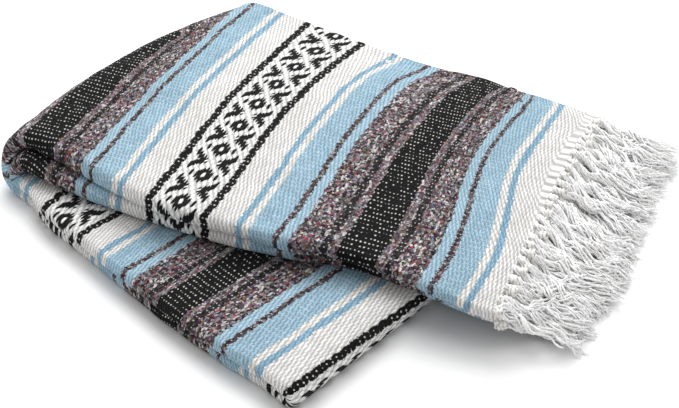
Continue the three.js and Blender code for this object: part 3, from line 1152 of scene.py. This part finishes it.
    def _shaded(
        self, tree: bpy.types.NodeTree, plan: Any, bead: dict[str, Any], colour: Any, dark: Any
    ) -> Any:
        """The weft's colour with each bead's own tone and the shade between beads.

        Args:
            tree: the material's nodes.
            plan: the cloth's own coordinates.
            bead: the sockets of _beads().
            colour: the weft's colour.
            dark: how much darker it is.

        Returns:
            The colour.
        """
        cell = add_node(tree, "ShaderNodeCombineXYZ", {0: bead["row"], 1: bead["column"]})
        own = add_node(tree, "ShaderNodeTexWhiteNoise", {"Vector": cell.outputs[0]}, noise_dimensions="2D")
        tone = add_node(
            tree, "ShaderNodeMapRange", {"Value": own.outputs["Value"], "To Min": 0.9, "To Max": 1.1}
        ).outputs[0]
        # painted shade: each bead's colour darkens towards its edge, in the gaps where it meets its
        # neighbours
        painted_gap_shade = add_node(
            tree, "ShaderNodeMapRange", {
                "Value": bead["height"], "To Min": 0.56, "To Max": 1.02, "From Max": 0.6
            }
        ).outputs[0]
        patch = add_node(
            tree, "ShaderNodeTexNoise", {"Vector": plan, "Scale": 22.0, "Detail": 3.0}, noise_dimensions="2D"
        )
        worn = add_node(
            tree, "ShaderNodeMapRange", {
                "Value": patch.outputs[0], "From Min": 0.3, "From Max": 0.7, "To Min": 0.95, "To Max": 1.04
            }
        ).outputs[0]
        deep = add_node(
            tree, "ShaderNodeMath", {0: dark, 1: -1.0, 2: 1.0}, operation="MULTIPLY_ADD"
        ).outputs[0]
        nap = add_node(
            tree, "ShaderNodeTexNoise", {"Vector": plan, "Scale": 900.0, "Detail": 2.0}, noise_dimensions="2D"
        )
        fibre_shade = add_node(
            tree,
            "ShaderNodeMapRange",
            {"Value": nap.outputs[0], "From Min": 0.3, "From Max": 0.7, "To Min": 0.8, "To Max": 1.12},
        ).outputs[0]
        level = tone
        for factor in (painted_gap_shade, worn, deep, fibre_shade):
            level = add_node(tree, "ShaderNodeMath", {0: level, 1: factor}, operation="MULTIPLY").outputs[0]
        return add_node(
            tree, "ShaderNodeVectorMath", {0: colour, 3: level}, operation="SCALE"
        ).outputs[0]


@dataclass(frozen=True)
class FringeYarn:
    """Soft twisted acrylic fringe yarn, bleached white, which scatters light and has a faint fibre sheen."""

    colour: str = "FDFDFD"
    knot_colour: str = "F7F5F0"
    twist: float = 0.0034  # m, one turn of the yarn

    def build(self) -> bpy.types.Material:
        """Makes the material.

        Returns:
            The material, for yarns whose UV map runs round them and along them, in metres.
        """
        material, tree = new_material("bleached_twisted_yarn")
        plan = add_node(tree, "ShaderNodeUVMap", uv_map="cloth_plan").outputs["UV"]
        axes = add_node(tree, "ShaderNodeSeparateXYZ", {0: plan})
        along = add_node(
            tree, "ShaderNodeMath", {0: axes.outputs[1], 1: self.twist}, operation="DIVIDE"
        ).outputs[0]
        turned = add_node(tree, "ShaderNodeMath", {0: axes.outputs[0], 1: along}, operation="ADD").outputs[0]
        ply = add_node(tree, "ShaderNodeMath", {0: turned, 1: 0.5}, operation="PINGPONG").outputs[0]
        place = add_node(tree, "ShaderNodeTexCoord").outputs["Object"]
        fuzz = add_node(
            tree, "ShaderNodeTexNoise", {"Vector": place, "Scale": 1500.0, "Detail": 3.0}
        ).outputs[0]
        tone = add_node(
            tree, "ShaderNodeTexNoise", {"Vector": place, "Scale": 55.0, "Detail": 2.0}
        ).outputs[0]
        # painted shade: the yarn's colour darkens along the grooves between its twisted plies
        ply_groove_shade = add_node(
            tree, "ShaderNodeMapRange", {"Value": ply, "From Max": 0.3, "To Min": 0.88, "To Max": 1.0}
        ).outputs[0]
        cream = add_node(
            tree, "ShaderNodeMapRange", {"Value": tone, "From Min": 0.45, "From Max": 0.75}
        ).outputs[0]
        shade = add_node(
            tree,
            "ShaderNodeMix",
            {0: cream, 6: linear(self.colour), 7: linear("F6F5F4")},
            data_type="RGBA",
        ).outputs[2]
        knotted = add_node(tree, "ShaderNodeAttribute", attribute_name="knotted").outputs["Fac"]
        shade = add_node(
            tree, "ShaderNodeMix", {0: knotted, 6: shade, 7: linear(self.knot_colour)}, data_type="RGBA"
        ).outputs[2]
        colour = add_node(tree, "ShaderNodeVectorMath", {0: shade, 3: ply_groove_shade}, operation="SCALE").outputs[0]
        relief = add_node(
            tree, "ShaderNodeMath", {0: fuzz, 1: 0.5, 2: ply}, operation="MULTIPLY_ADD"
        ).outputs[0]
        bump = add_node(
            tree, "ShaderNodeBump", {"Height": relief, "Strength": 0.6, "Distance": 0.0005}
        ).outputs[0]
        shader = add_node(
            tree,
            "ShaderNodeBsdfPrincipled",
            {
                "Base Color": colour,
                "Roughness": 0.85,
                "Normal": bump,
                "Specular IOR Level": 0.2,
                "Sheen Weight": 0.15,
                "Sheen Roughness": 0.5,
            },
        )
        add_node(tree, "ShaderNodeOutputMaterial", {"Surface": shader.outputs[0]})
        return material


@dataclass(frozen=True)
class PaleFloor:
    """A matt white studio sweep."""

    colour: str = "F4F4F4"

    def build(self) -> bpy.types.Material:
        """Makes the material.

        Returns:
            The material.
        """
        material, tree = new_material("matt_white_sweep")
        place = add_node(tree, "ShaderNodeTexCoord").outputs["Object"]
        grain = add_node(tree, "ShaderNodeTexNoise", {"Vector": place, "Scale": 3.0}).outputs[0]
        tone = add_node(
            tree, "ShaderNodeMapRange", {"Value": grain, "To Min": 0.985, "To Max": 1.0}
        ).outputs[0]
        colour = add_node(
            tree, "ShaderNodeVectorMath", {0: linear(self.colour)[:3], 3: tone}, operation="SCALE"
        ).outputs[0]
        shader = add_node(
            tree, "ShaderNodeBsdfPrincipled", {
                "Base Color": colour, "Roughness": 0.95, "Specular IOR Level": 0.0
            }
        )
        add_node(tree, "ShaderNodeOutputMaterial", {"Surface": shader.outputs[0]})
        return material


# ---------------------------------------------------------------- the blanket


@dataclass
class Sleeve:
    """The woven cloth that shows: a flat sleeve of it, folded into four leaves, made in two pieces."""

    plan: FoldPlan
    stripes: StripePlan
    finish: bpy.types.Material
    wall: float = 2.3
    joint: float = 0.3
    flat_top: float = 46.4  # height of the flat pile's top
    lean: tuple[float, float] = (-0.64, 1.4)  # how far stripes move along and across for each mm above it
    woven_end: float = 251.5  # place of the woven end in the blanket's length, before the next ornament
    turn_run: float = 1.12  # mm of cloth for each mm round the outer turn
    right_fold_run: float = 34.6  # mm of cloth round the right fold
    whole_run: float = 1120.0  # from the ornament of one leaf to its like on the leaf below, four repeats
    creases: tuple[Crease, ...] = (
        Crease((232, 215), (150, 320), 13, -1.8),
        Crease((214, 262), (120, 300), 11, 1.5),
        Crease((60, 300), (185, 288), 10, -1.4),
        Crease((-110, 60), (-40, 22), 9, 1.2),
        Crease((-60, 250), (-120, 300), 12, 1.3),
        Crease((20, 200), (60, 325), 16, -1.1),
        Crease((150, 30), (120, 120), 18, 1.2),
        Crease((-140, 110), (-70, 140), 15, -1.1),
        Crease((-20, 30), (-60, 120), 20, 0.9),
        Crease((250, 60), (150, 90), 16, 1.0),
    )

    def stations(self, half: Half) -> tuple[Stations, list[int]]:
        """The sections of one half.

        Args:
            half: which half.

        Returns:
            The sections, and the index of the last section of each stretch.
        """
        p = self.plan
        if half is Half.OUTER:
            parts = [
                p.upper(True),
                p.turn(Side.LEFT, 3, 0, True, (p.top_inset, p.bottom_inset)),
                p.lower(0),
            ]
        else:
            parts = [
                p.turn(Side.RIGHT, 0, 1, True, (p.bottom_inset, p.third_inset)),
                p.lower(1).reversed(),
                p.turn(Side.LEFT, 1, 2, False, (p.third_inset, p.second_inset(p.upper_fold))),
                p.upper(False).reversed(),
            ]
        whole, ends = parts[0], [len(parts[0].front) - 1]
        for part in parts[1:]:
            whole = whole.joined(part)
            ends.append(len(whole.front) - 1)
        return whole, ends

    def spacing(self, half: Half, ends: Sequence[float]) -> np.ndarray:
        """The places of the mesh's rows along the sleeve, closer where the cloth shows.

        Args:
            half: which half.
            ends: where each stretch ends, mm along the sleeve.

        Returns:
            The places, mm.
        """
        steps = (2.9, 3.0, 8.0) if half is Half.OUTER else (2.2, 3.2, 2.6, 4.2)
        places, start = [0.0], 0.0
        for end, step in zip(ends, steps):
            count = max(2, round((end - start) / step))
            places += list(np.linspace(start, end, count + 1)[1:])
            start = end
        made = np.array(places)
        if half is Half.OUTER:
            made[-1] -= self.joint
        return made

    def ring(self, half: Half) -> RingShape:
        """How the outline is sampled: close across the side that shows.

        Args:
            half: which half.

        Returns:
            The shape.
        """
        if half is Half.OUTER:
            return RingShape(np.linspace(0, 1, 99), np.linspace(0, 1, 36))
        near = np.linspace(0, 0.36, 36)
        return RingShape(np.concatenate([near, np.linspace(0.36, 1, 26)[1:]]), np.linspace(0, 1, 34))

    def lengths(
        self, half: Half, points: np.ndarray, rises: np.ndarray, at: np.ndarray, ends: Sequence[float]
    ) -> np.ndarray:
        """The place in the blanket's length of each point.

        Args:
            half: which half.
            points: the mesh's rows of points, mm.
            rises: how much higher than the flat pile the top is at each point.
            at: the place of each row along the sleeve.
            ends: where each stretch ends.

        Returns:
            The lengths, mm.
        """
        x, y = points[..., 0], points[..., 1]
        upper, lower = self.stripes.upper_length, self.stripes.lower_length
        made = np.zeros(x.shape)
        first = at <= ends[0]
        k = int(first.sum()) - 1
        if half is Half.OUTER:
            rise = rises[first]
            woven = upper(x[first] + self.lean[0] * rise, y[first] + self.lean[1] * rise)
            made[first] = np.minimum(woven, self.woven_end)
            turn = (at > ends[0]) & (at <= ends[1])
            made[turn] = made[k] - (at[turn] - ends[0])[:, None] * self.turn_run
            m = int((at <= ends[1]).sum()) - 1
            last = at > ends[1]
            goal = lower(x[-1], y[-1]) + self.right_fold_run
            share = ((at[last] - ends[1]) / (ends[2] - ends[1]))[:, None]
            made[last] = made[m] + (goal - made[m]) * share
            return made
        start = lower(x[0], y[0]) + self.right_fold_run
        goal = lower(x[k], y[k])
        made[first] = start + (goal - start) * (at[first] / ends[0])[:, None]
        third = (at > ends[0]) & (at <= ends[1])
        made[third] = lower(x[third], y[third])
        m = int((at <= ends[1]).sum()) - 1
        second = at > ends[2]
        made[second] = -self.whole_run - upper(x[second], y[second])
        n = int((at <= ends[2]).sum()) - 1
        turn = (at > ends[1]) & (at <= ends[2])
        goal = -self.whole_run - upper(x[n], y[n])
        share = ((at[turn] - ends[1]) / (ends[2] - ends[1]))[:, None]
        made[turn] = made[m] + (goal - made[m]) * share
        return made

    def widths(
        self, ring: RingShape, section: Stations, outlines: np.ndarray, y: np.ndarray, rises: np.ndarray,
        share_low: np.ndarray,
    ) -> np.ndarray:
        """The place in the blanket's width of each point, carried on round the outline from the leaf's top.

        Args:
            ring: how the outline is sampled.
            section: the rows' sections.
            outlines: each row's outline, reach and height.
            y: each point's place across the pile.
            rises: how much higher than the flat pile the top is at each point.
            share_low: how far each row follows the lower pile's width and not the upper one's.

        Returns:
            The widths, mm, with one more column than the outline for the seam at the slit.
        """
        closed = np.concatenate([outlines, outlines[:, :1]], axis=1)
        steps = np.linalg.norm(np.diff(closed, axis=1), axis=2)
        run = np.concatenate([np.zeros((len(steps), 1)), np.cumsum(steps, axis=1)], axis=1)
        first = 1 + ring.fold_steps
        last = first + len(ring.top) - 1
        reach = outlines[:, first : last + 1, 0] + section.facts[:, 2:3]
        low = share_low[:, None]
        on_pile = (y + self.lean[1] * rises)[:, first : last + 1]
        on_top = self.stripes.upper_width(on_pile) * (1 - low) + self.stripes.lower_width(reach) * low
        made = np.empty(run.shape)
        made[:, first : last + 1] = on_top
        made[:, :first] = on_top[:, :1] + (run[:, first : first + 1] - run[:, :first])
        made[:, last + 1 :] = on_top[:, -1:] - (run[:, last + 1 :] - run[:, last : last + 1])
        return made

    def placed(self, section: Stations, outlines: np.ndarray) -> np.ndarray:
        """The outlines put in their places, with their edges sunk.

        Args:
            section: the rows' sections.
            outlines: each row's outline.

        Returns:
            The points, mm.
        """
        width = np.linalg.norm(section.back - section.front, axis=1)
        across = (section.back - section.front) / width[:, None]
        _, pack, inset, front_drop, back_drop, back_from, squash = (c[:, None] for c in section.facts.T)
        reach, height = outlines[..., 0], outlines[..., 1]
        share = (reach + inset) / pack
        sink = front_drop * np.maximum(0, 1 - share / 0.3) ** 2
        sink = sink + back_drop * np.maximum(0, (share - back_from) / (1 - back_from)) ** 2
        points = section.front[:, None] + across[:, None] * reach[
            ..., None
        ] + section.up[:, None] * height[..., None]
        points[..., 2] -= sink
        low = self.plan.height(2) - self.plan.leaf_thick / 2
        flatter = squash * np.clip((share - 0.55) / 0.45, 0, 1) ** 1.5
        points[..., 2] -= np.maximum(points[..., 2] - low, 0) * flatter
        return self.plan.loosened(points)

    def softened(
        self, half: Half, ring: RingShape, points: np.ndarray, at: np.ndarray, ends: Sequence[float]
    ) -> np.ndarray:
        """The points with the unevenness and creases of soft cloth, where nothing lies against them.

        Args:
            half: which half.
            ring: how the outline is sampled.
            points: the rows of points, mm.
            at: the place of each row along the sleeve.
            ends: where each stretch ends.

        Returns:
            The points, mm.
        """
        closed = np.concatenate([points[:, -1:], points, points[:, :1]], axis=1)
        round_it = (closed[:, 2:] - closed[:, :-2])
        along = np.gradient(points, axis=0)
        normal = np.cross(along, round_it)
        normal /= np.maximum(np.linalg.norm(normal, axis=2, keepdims=True), 1e-9)
        centre = points.mean(axis=1, keepdims=True)
        first, last = 1 + ring.fold_steps, ring.fold_steps + len(ring.top)
        middle_up = points[:, (first + last) // 2] - centre[:, 0]
        sign = np.sign((normal[:, (first + last) // 2] * middle_up).sum(1))
        normal *= np.median(sign)
        x, y, z = (points[..., k] for k in range(3))
        free = np.ones(x.shape)
        top = slice(first, last + 1)
        under = slice(last + ring.round_steps, last + ring.round_steps + len(ring.under))
        free[:, under] = 0.0
        if half is Half.INNER:
            # the third leaf shows only in front of the upper pile, and the second leaf only at its edges
            edge = np.clip((points[:, top] - points[:, last : last + 1])[..., 1] / 30, 0, 1)
            free[:, top] = np.where((at < ends[1])[:, None], 1 - edge, 0.0)
        slow = SoftNoise(3, 120).at(x + 0.6 * z, y + z)
        quick = SoftNoise(8, 34).at(x + z, y - z)
        lift = free * (0.7 * slow + 0.35 * quick)
        if half is Half.OUTER:
            on_top = (at <= ends[0])[:, None] & (z > 24)
            for crease in self.creases:
                lift += np.where(on_top, crease.at(x, y), 0.0) * free
        moved = points + normal * lift[..., None]
        moved[..., 2] = np.maximum(moved[..., 2], 0.05)
        return moved

    def build(self, half: Half, nodes: Sequence[str]) -> bpy.types.Object:
        """Makes one half.

        Args:
            half: which half.
            nodes: the solid pieces that it stands for.

        Returns:
            The piece.
        """
        whole, marks = self.stations(half)
        known = whole.places()
        ends = [float(known[k]) for k in marks]
        at = self.spacing(half, ends)
        section = whole.at(at)
        ring = self.ring(half)
        width = np.linalg.norm(section.back - section.front, axis=1)
        outlines = np.stack(
            [
                ring.outline(w, t, 0.0, self.plan.notch_depth, False)
                for w, t in zip(width, section.facts[:, 0])
            ]
        )
        points = self.placed(section, outlines)
        first, last = 1 + ring.fold_steps, ring.fold_steps + len(ring.top)
        rises = points[..., 2] - self.flat_top
        rises[:, :first], rises[:, last + 1 :] = rises[:, first : first + 1], rises[:, last : last + 1]
        length = self.lengths(half, points, rises, at, ends)
        if half is Half.OUTER:
            low = np.clip((at - ends[1]) / (ends[2] - ends[1]), 0, 1)
        else:
            low = 1 - np.clip((at - ends[1]) / (ends[2] - ends[1]), 0, 1)
        across = self.widths(ring, section, outlines, points[..., 1], np.clip(rises, -14, 9), low)
        length = np.concatenate([length, length[:, :1]], axis=1)
        points = self.softened(half, ring, points, at, ends)
        points += self.plan.origin
        cloth = np.stack([length, across], -1) * MM
        piece = grid_mesh(half.value, points, cloth, ring_closed=True)
        piece.data.materials.append(self.finish)
        faces_out(piece)
        thicken = piece.modifiers.new("cloth_wall", "SOLIDIFY")
        thicken.thickness = self.wall * MM
        thicken.offset = -1.0
        thicken.use_rim = True
        alone(piece)
        bpy.ops.object.modifier_apply(modifier=thicken.name)
        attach(piece, BODY)
        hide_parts(*nodes)
        LOG.info("%s: %d faces", piece.name, len(piece.data.polygons))
        return piece


@dataclass
class FoldedLayers:
    """The layers folded inside the sleeve, as one body with slit edges."""

    sleeve: Sleeve
    finish: bpy.types.Material
    gap: float = 0.5
    step: float = 9.0

    def build(self) -> bpy.types.Object:
        """Makes the piece.

        Returns:
            The piece.
        """
        outer, _ = self.sleeve.stations(Half.OUTER)
        inner, _ = self.sleeve.stations(Half.INNER)
        whole = outer.joined(inner)
        known = whole.places()
        at = np.linspace(1.2, known[-1] - 1.2, round(known[-1] / self.step))
        section = whole.at(at)
        ring = RingShape(np.linspace(0, 1, 30), np.linspace(0, 1, 30), fold_steps=4)
        width = np.linalg.norm(section.back - section.front, axis=1)
        wall = self.sleeve.wall + self.gap
        outlines = np.stack(
            [ring.outline(w - 9, t, wall, 3.0, True) for w, t in zip(width, section.facts[:, 0])]
        )
        points = self.sleeve.placed(section, outlines)
        length = 251.0 - at[:, None] * np.ones(points.shape[1] + 1)
        closed = np.concatenate([outlines, outlines[:, :1]], axis=1)
        run = np.concatenate(
            [
                np.zeros((len(at), 1)), np.cumsum(np.linalg.norm(np.diff(closed, axis=1), axis=2), axis=1)
            ], axis=1
        )
        cloth = np.stack([length, run], -1) * MM
        piece = grid_mesh("serape_inner_layers", points + self.sleeve.plan.origin, cloth, True, capped=True)
        piece.data.materials.append(self.finish)
        faces_out(piece)
        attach(piece, BODY)
        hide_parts("hidden_layers")
        LOG.info("%s: %d faces", piece.name, len(piece.data.polygons))
        return piece


@dataclass(frozen=True)
class HeapRow:
    """A section of the heap of fringe, mm: distance out from the woven end, underside and thickness."""

    out: float
    under: float
    thick: float


@dataclass
class Fringe:
    """One end's fringe: knots along the woven end, and tassels that droop from it and lie in a heap.

    Attributes:
        name: the piece's name.
        node: the solid it stands for.
        levels: the share of the heap's thickness where each row of tassels lies.
        seed: which random set.
    """

    plan: FoldPlan
    finish: bpy.types.Material
    name: str
    node: str
    levels: tuple[float, ...]
    seed: int
    tassels: int = 27
    strands: int = 7
    steps: int = 17
    sides: int = 5
    yarn: float = 0.95
    length: float = 70.0
    heap: tuple[HeapRow, ...] = (
        HeapRow(-2, 22.6, 16.6),
        HeapRow(4, 20.0, 16.6),
        HeapRow(15, 12.8, 16.0),
        HeapRow(32, 5.6, 15.0),
        HeapRow(49, 1.4, 12.2),
        HeapRow(66, 0.4, 7.6),
        HeapRow(80, 0.3, 5.0),
    )

    def woven_end(self, y: np.ndarray) -> np.ndarray:
        """Where the woven end is along the pile, at places across it."""
        return np.interp(y, [10, 306], [262, 238])

    def heap_height(self, out: np.ndarray, y: np.ndarray, level: float) -> np.ndarray:
        """The height of a yarn in the heap.

        Args:
            out: its distance from the woven end, mm.
            y: its place across the pile.
            level: its share of the heap's thickness.

        Returns:
            The height, mm.
        """
        outs = [r.out for r in self.heap]
        under = np.interp(out, outs, [r.under for r in self.heap])
        thick = np.interp(out, outs, [r.thick for r in self.heap])
        share = np.clip((y - 10) / 296, 0, 1)
        sink = 6 * np.maximum(0, 1 - share / 0.3) ** 2 + 13 * np.maximum(0, (share - 0.58) / 0.42) ** 2
        fade = np.clip(1 - out / 40, 0, 1)
        return np.maximum(under + level * thick - sink * fade, self.yarn + 0.2 + level * thick * 0.6)

    def tube(self, line: np.ndarray, radius: np.ndarray) -> tuple[np.ndarray, np.ndarray]:
        """A yarn's surface round its line.

        Args:
            line: the points of its line, mm.
            radius: its radius at each.

        Returns:
            Its points as rows of rings, and its UV coordinates with one more column.
        """
        run = np.gradient(line, axis=0)
        run /= np.linalg.norm(run, axis=1, keepdims=True)
        side = np.cross(run, [0.13, 0.21, 1.0])
        side /= np.linalg.norm(side, axis=1, keepdims=True)
        over = np.cross(side, run)
        angle = np.arange(self.sides) * math.tau / self.sides
        offset = side[:, None] * np.cos(angle)[None, :, None] + over[:, None] * np.sin(angle)[None, :, None]
        points = line[:, None] + offset * radius[:, None, None]
        far = np.concatenate([[0], np.cumsum(np.linalg.norm(np.diff(line, axis=0), axis=1))]) * MM
        around = np.arange(self.sides + 1) / self.sides
        uv = np.stack(np.broadcast_arrays(around[None], far[:, None]), -1)
        return points, uv

    def tassel_lines(
        self, rng: np.random.Generator, y0: float, level: float
    ) -> list[tuple[np.ndarray, np.ndarray]]:
        """The yarns of one tassel.

        Args:
            rng: the random numbers.
            y0: its place across the pile.
            level: its share of the heap's thickness.

        Returns:
            For each yarn its line and its radii, mm.
        """
        t = np.linspace(0, 1, self.steps)
        share = (y0 - 10) / 296
        lean = rng.normal(0, 0.16) + 0.55 * max(0.0, 1 - share / 0.3) - 0.12 * max(0.0, share - 0.6)
        bend = rng.normal(0, 0.35)
        length = self.length * rng.uniform(0.84, 1.06) * (0.86 + 0.14 * min(share / 0.3, 1.0))
        waves, phase = rng.uniform(1.4, 2.8), rng.uniform(0, math.tau)
        sway = rng.uniform(1.4, 3.6)
        twist, turn = rng.uniform(1.0, 2.0) * math.tau, rng.uniform(0, math.tau)
        curls, start = rng.uniform(3.5, 6.0), rng.uniform(0, math.tau)
        angle = lean + bend * t**1.5
        step = length / (self.steps - 1)
        out = np.concatenate([[0], np.cumsum(np.cos(angle[1:]) * step)])
        sideways = np.concatenate([[0], np.cumsum(np.sin(angle[1:]) * step)])
        sideways += sway * np.sin(waves * math.tau * t + phase) * np.clip(t * 4, 0, 1)
        rise = rng.uniform(0.5, 2.2) * np.sin((waves + 0.7) * math.tau * t + 2 * phase) * np.clip(t * 4, 0, 1)
        bundle = 2.3 + 2.6 * t**1.5 * rng.uniform(0.6, 1.5)
        made = []
        for k in range(self.strands):
            ring = 0.3 if k == 0 else 1.0
            own = turn + k * math.tau / (self.strands - 1)
            spread = bundle * ring * rng.uniform(0.75, 1.2)
            around = own + twist * np.minimum(t, 0.6) / 0.6
            # the yarns of a tassel keep the crimp of the twist they were plied with, nearly in step
            curl = rng.uniform(0.7, 1.7)
            shift = start + rng.normal(0, 0.7)
            crimp = curls * math.tau * t + shift
            y = y0 + sideways + spread * np.cos(around) + curl * np.sin(crimp) * np.clip(t * 2, 0, 1)
            y = y + rng.normal(0, 3.2) * t**2
            x = self.woven_end(np.full(1, y0)) - 1.5 + out * rng.uniform(0.9, 1.03)
            x = x + 0.8 * np.cos(crimp) * t
            lift = spread * np.sin(around) * (1 - 0.4 * t) + rise
            z = self.heap_height(x - self.woven_end(y), y, level) + lift
            z = np.maximum(z + curl * 0.7 * np.cos(crimp * 0.8) * np.clip(t * 2, 0, 1), self.yarn + 0.1)
            radius = self.yarn * (1.0 - 0.3 * t) * np.where(t > 0.97, 0.35, 1.0) * rng.uniform(0.8, 1.2)
            made.append((np.stack([x, y, z], -1), radius))
        return made

    def knot_line(self, rng: np.random.Generator, y0: float, level: float) -> tuple[np.ndarray, np.ndarray]:
        """The yarn wound round the top of one tassel as its knot.

        Args:
            rng: the random numbers.
            y0: its place across the pile.
            level: its share of the heap's thickness.

        Returns:
            Its line and its radii, mm.
        """
        t = np.linspace(0, 1, 15)
        turns = 2.2 * math.tau * t + rng.uniform(0, math.tau)
        size = 2.7 * rng.uniform(0.85, 1.2)
        x = self.woven_end(np.full(1, y0)) - 0.5 + 5.6 * t + rng.uniform(-3.5, 4.5)
        y = y0 + size * np.cos(turns)
        z = self.heap_height(np.full(1, 2.0), np.full(1, y0), level) + size * 0.85 * np.sin(turns)
        radius = 1.45 * np.sin(np.clip(t, 0.06, 0.94) * math.pi) ** 0.35
        return np.stack([x, y, z], -1), radius

    def build(self) -> bpy.types.Object:
        """Makes the piece.

        Returns:
            The piece.
        """
        rng = np.random.default_rng(self.seed)
        points, faces, uvs, knotted, count = [], [], [], [], 0
        for level in self.levels:
            spread = 296 - 12 * (1 - level)
            pitch = spread / self.tassels
            for k in range(self.tassels):
                y0 = 10 + (296 - spread) / 2 + (k + 0.5 + rng.uniform(-0.22, 0.22)) * pitch
                lines = [(*pair, 0.0) for pair in self.tassel_lines(rng, y0, level)]
                lines.append((*self.knot_line(rng, y0, level), 1.0))
                for line, radius, is_knot in lines:
                    tube, uv = self.tube(line, radius)
                    rows, sides = tube.shape[:2]
                    i, j = np.meshgrid(np.arange(rows - 1), np.arange(sides), indexing="ij")
                    nxt = (j + 1) % sides
                    corners = [i * sides + j, i * sides + nxt, (i + 1) * sides + nxt, (i + 1) * sides + j]
                    faces += (np.stack(corners, -1).reshape(-1, 4) + count).tolist()
                    uvs.append(
                        np.stack([uv[i, j], uv[i, j + 1], uv[i + 1, j + 1], uv[i + 1, j]], -2).reshape(-1, 2)
                    )
                    for row, order in ((0, slice(None, None, -1)), (rows - 1, slice(None))):
                        faces.append((count + row * sides + np.arange(sides)[order]).tolist())
                        uvs.append(uv[row, :sides][order])
                    points.append(tube.reshape(-1, 3))
                    knotted.append(np.full(rows * sides, is_knot))
                    count += rows * sides
        mesh = bpy.data.meshes.new(self.name)
        mesh.from_pydata(((np.concatenate(points) + self.plan.origin) * MM).tolist(), [], faces)
        layer = mesh.uv_layers.new(name="cloth_plan")
        layer.data.foreach_set("uv", np.concatenate(uvs).astype(np.float32).ravel())
        marks = mesh.attributes.new("knotted", "FLOAT", "POINT")
        marks.data.foreach_set("value", np.concatenate(knotted).astype(np.float32))
        mesh.polygons.foreach_set("use_smooth", np.ones(len(mesh.polygons), bool))
        piece = bpy.data.objects.new(self.name, mesh)
        bpy.context.scene.collection.objects.link(piece)
        mesh.materials.append(self.finish)
        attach(piece, BODY)
        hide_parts(self.node)
        LOG.info("%s: %d faces", piece.name, len(mesh.polygons))
        return piece


# ---------------------------------------------------------------- the setting


@dataclass
class Studio:
    """A pale floor, a soft overhead light from behind, and the camera.

    Attributes:
        aim: what the camera looks at, m.
        azimuth: where it stands round the blanket, degrees from +X.
        elevation: how high it stands, degrees.
        distance: how far it stands from its aim, m.
        lens: its focal length on a 36 mm sensor, mm.
    """

    aim: tuple[float, float, float] = (0.0148, -0.0068, 0.02)
    azimuth: float = -65.5
    elevation: float = 33.0
    distance: float = 1.5031
    lens: float = 106.04
    floor_size: float = 6.0

    def floor(self) -> bpy.types.Object:
        """Makes the floor."""
        bpy.ops.object.select_all(action="DESELECT")
        bpy.ops.mesh.primitive_plane_add(size=self.floor_size, location=(0, 0, 0))
        made = bpy.context.active_object
        made.name = "studio_floor"
        made.data.materials.append(PaleFloor().build())
        made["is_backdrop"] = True
        return made

    def light(
        self, name: str, place: Sequence[float], aim: Sequence[float], size: float, power: float, colour: str
    ) -> None:
        """Adds a soft square light.

        Args:
            name: its name.
            place: where it hangs, m.
            aim: what it points at, m.
            size: its side, m.
            power: its power, W.
            colour: its colour, sRGB hex.
        """
        data = bpy.data.lights.new(name, "AREA")
        data.shape, data.size, data.energy = "SQUARE", size, power
        data.color = linear(colour)[:3]
        made = bpy.data.objects.new(name, data)
        made.location = place
        made.rotation_euler = (Vector(aim) - Vector(place)).to_track_quat("-Z", "Y").to_euler()
        bpy.context.scene.collection.objects.link(made)

    def sky(self) -> None:
        """Lights the scene evenly from all round."""
        world = bpy.data.worlds.new("studio")
        world.use_nodes = True
        world.node_tree.nodes.clear()
        shader = add_node(
            world.node_tree, "ShaderNodeBackground", {"Color": linear("FFFFFF"), "Strength": 0.6}
        )
        add_node(world.node_tree, "ShaderNodeOutputWorld", {"Surface": shader.outputs[0]})
        bpy.context.scene.world = world

    def camera(self) -> None:
        """Makes the camera."""
        data = bpy.data.cameras.new("camera")
        data.lens, data.sensor_width = self.lens, 36.0
        data.clip_start, data.clip_end = 0.05, 50
        made = bpy.data.objects.new("camera", data)
        round_it, rise = math.radians(self.azimuth), math.radians(self.elevation)
        level = math.cos(rise)
        back = Vector((level * math.cos(round_it), level * math.sin(round_it), math.sin(rise)))
        right = Vector((0, 0, 1)).cross(back).normalized()
        turn = Matrix((right, back.cross(right), back)).transposed()
        made.matrix_world = Matrix.Translation(Vector(self.aim) + back * self.distance) @ turn.to_4x4()
        bpy.context.scene.collection.objects.link(made)
        bpy.context.scene.camera = made

    def build(self) -> None:
        """Makes all of it."""
        self.camera()
        self.floor()
        self.sky()
        self.light("window_behind", (-0.7, 1.3, 1.7), (0, 0.05, 0), 1.5, 44, "FFFFFF")
        self.light("overhead", (0.3, 0.2, 2.2), (0, 0, 0), 1.6, 14, "FFFFFF")
        bpy.context.scene.view_settings.view_transform = "Standard"


@dataclass
class Serape:
    """The whole blanket."""

    plan: FoldPlan = field(default_factory=FoldPlan)
    stripes: StripePlan = field(default_factory=StripePlan)
    width_round: float = 0.63  # m, all round the sleeve
    outer_run: float = 0.80  # m of the blanket's length in the outer half
    inner_run: float = 0.82

    def build(self) -> list[bpy.types.Object]:
        """Returns:
            The pieces.
        """
        cloth, yarn = FalsaCloth().build(), FringeYarn().build()
        sleeve = Sleeve(self.plan, self.stripes, cloth)
        outer = sleeve.build(Half.OUTER, ["cloth_top_leaf", "cloth_outer_turn", "cloth_bottom_leaf"])
        inner = sleeve.build(
            Half.INNER, ["cloth_middle_fold", "cloth_third_leaf", "cloth_inner_turn", "cloth_second_leaf"]
        )
        layers = FoldedLayers(sleeve, cloth).build()
        first = Fringe(
            self.plan, yarn, "fringe_upper", "fringe_first_end", (0.98, 0.78, 0.58), 11
        ).build()
        second = Fringe(
            self.plan, yarn, "fringe_under", "fringe_second_end", (0.40, 0.24, 0.08), 23
        ).build()
        return [outer, inner, layers, first, second]


def main() -> None:
    """Builds the blanket and its setting."""
    logging.basicConfig(level=logging.INFO, format="%(name)s: %(message)s")
    Studio().build()
    for piece in Serape().build():
        LOG.info("%s is %s m", piece.name, [round(side, 3) for side in piece.dimensions])
    boxes = [[[float(c) for c in corner] for corner in box] for box in (CAD_BOX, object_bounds())]


if __name__ == "__main__":
    main()
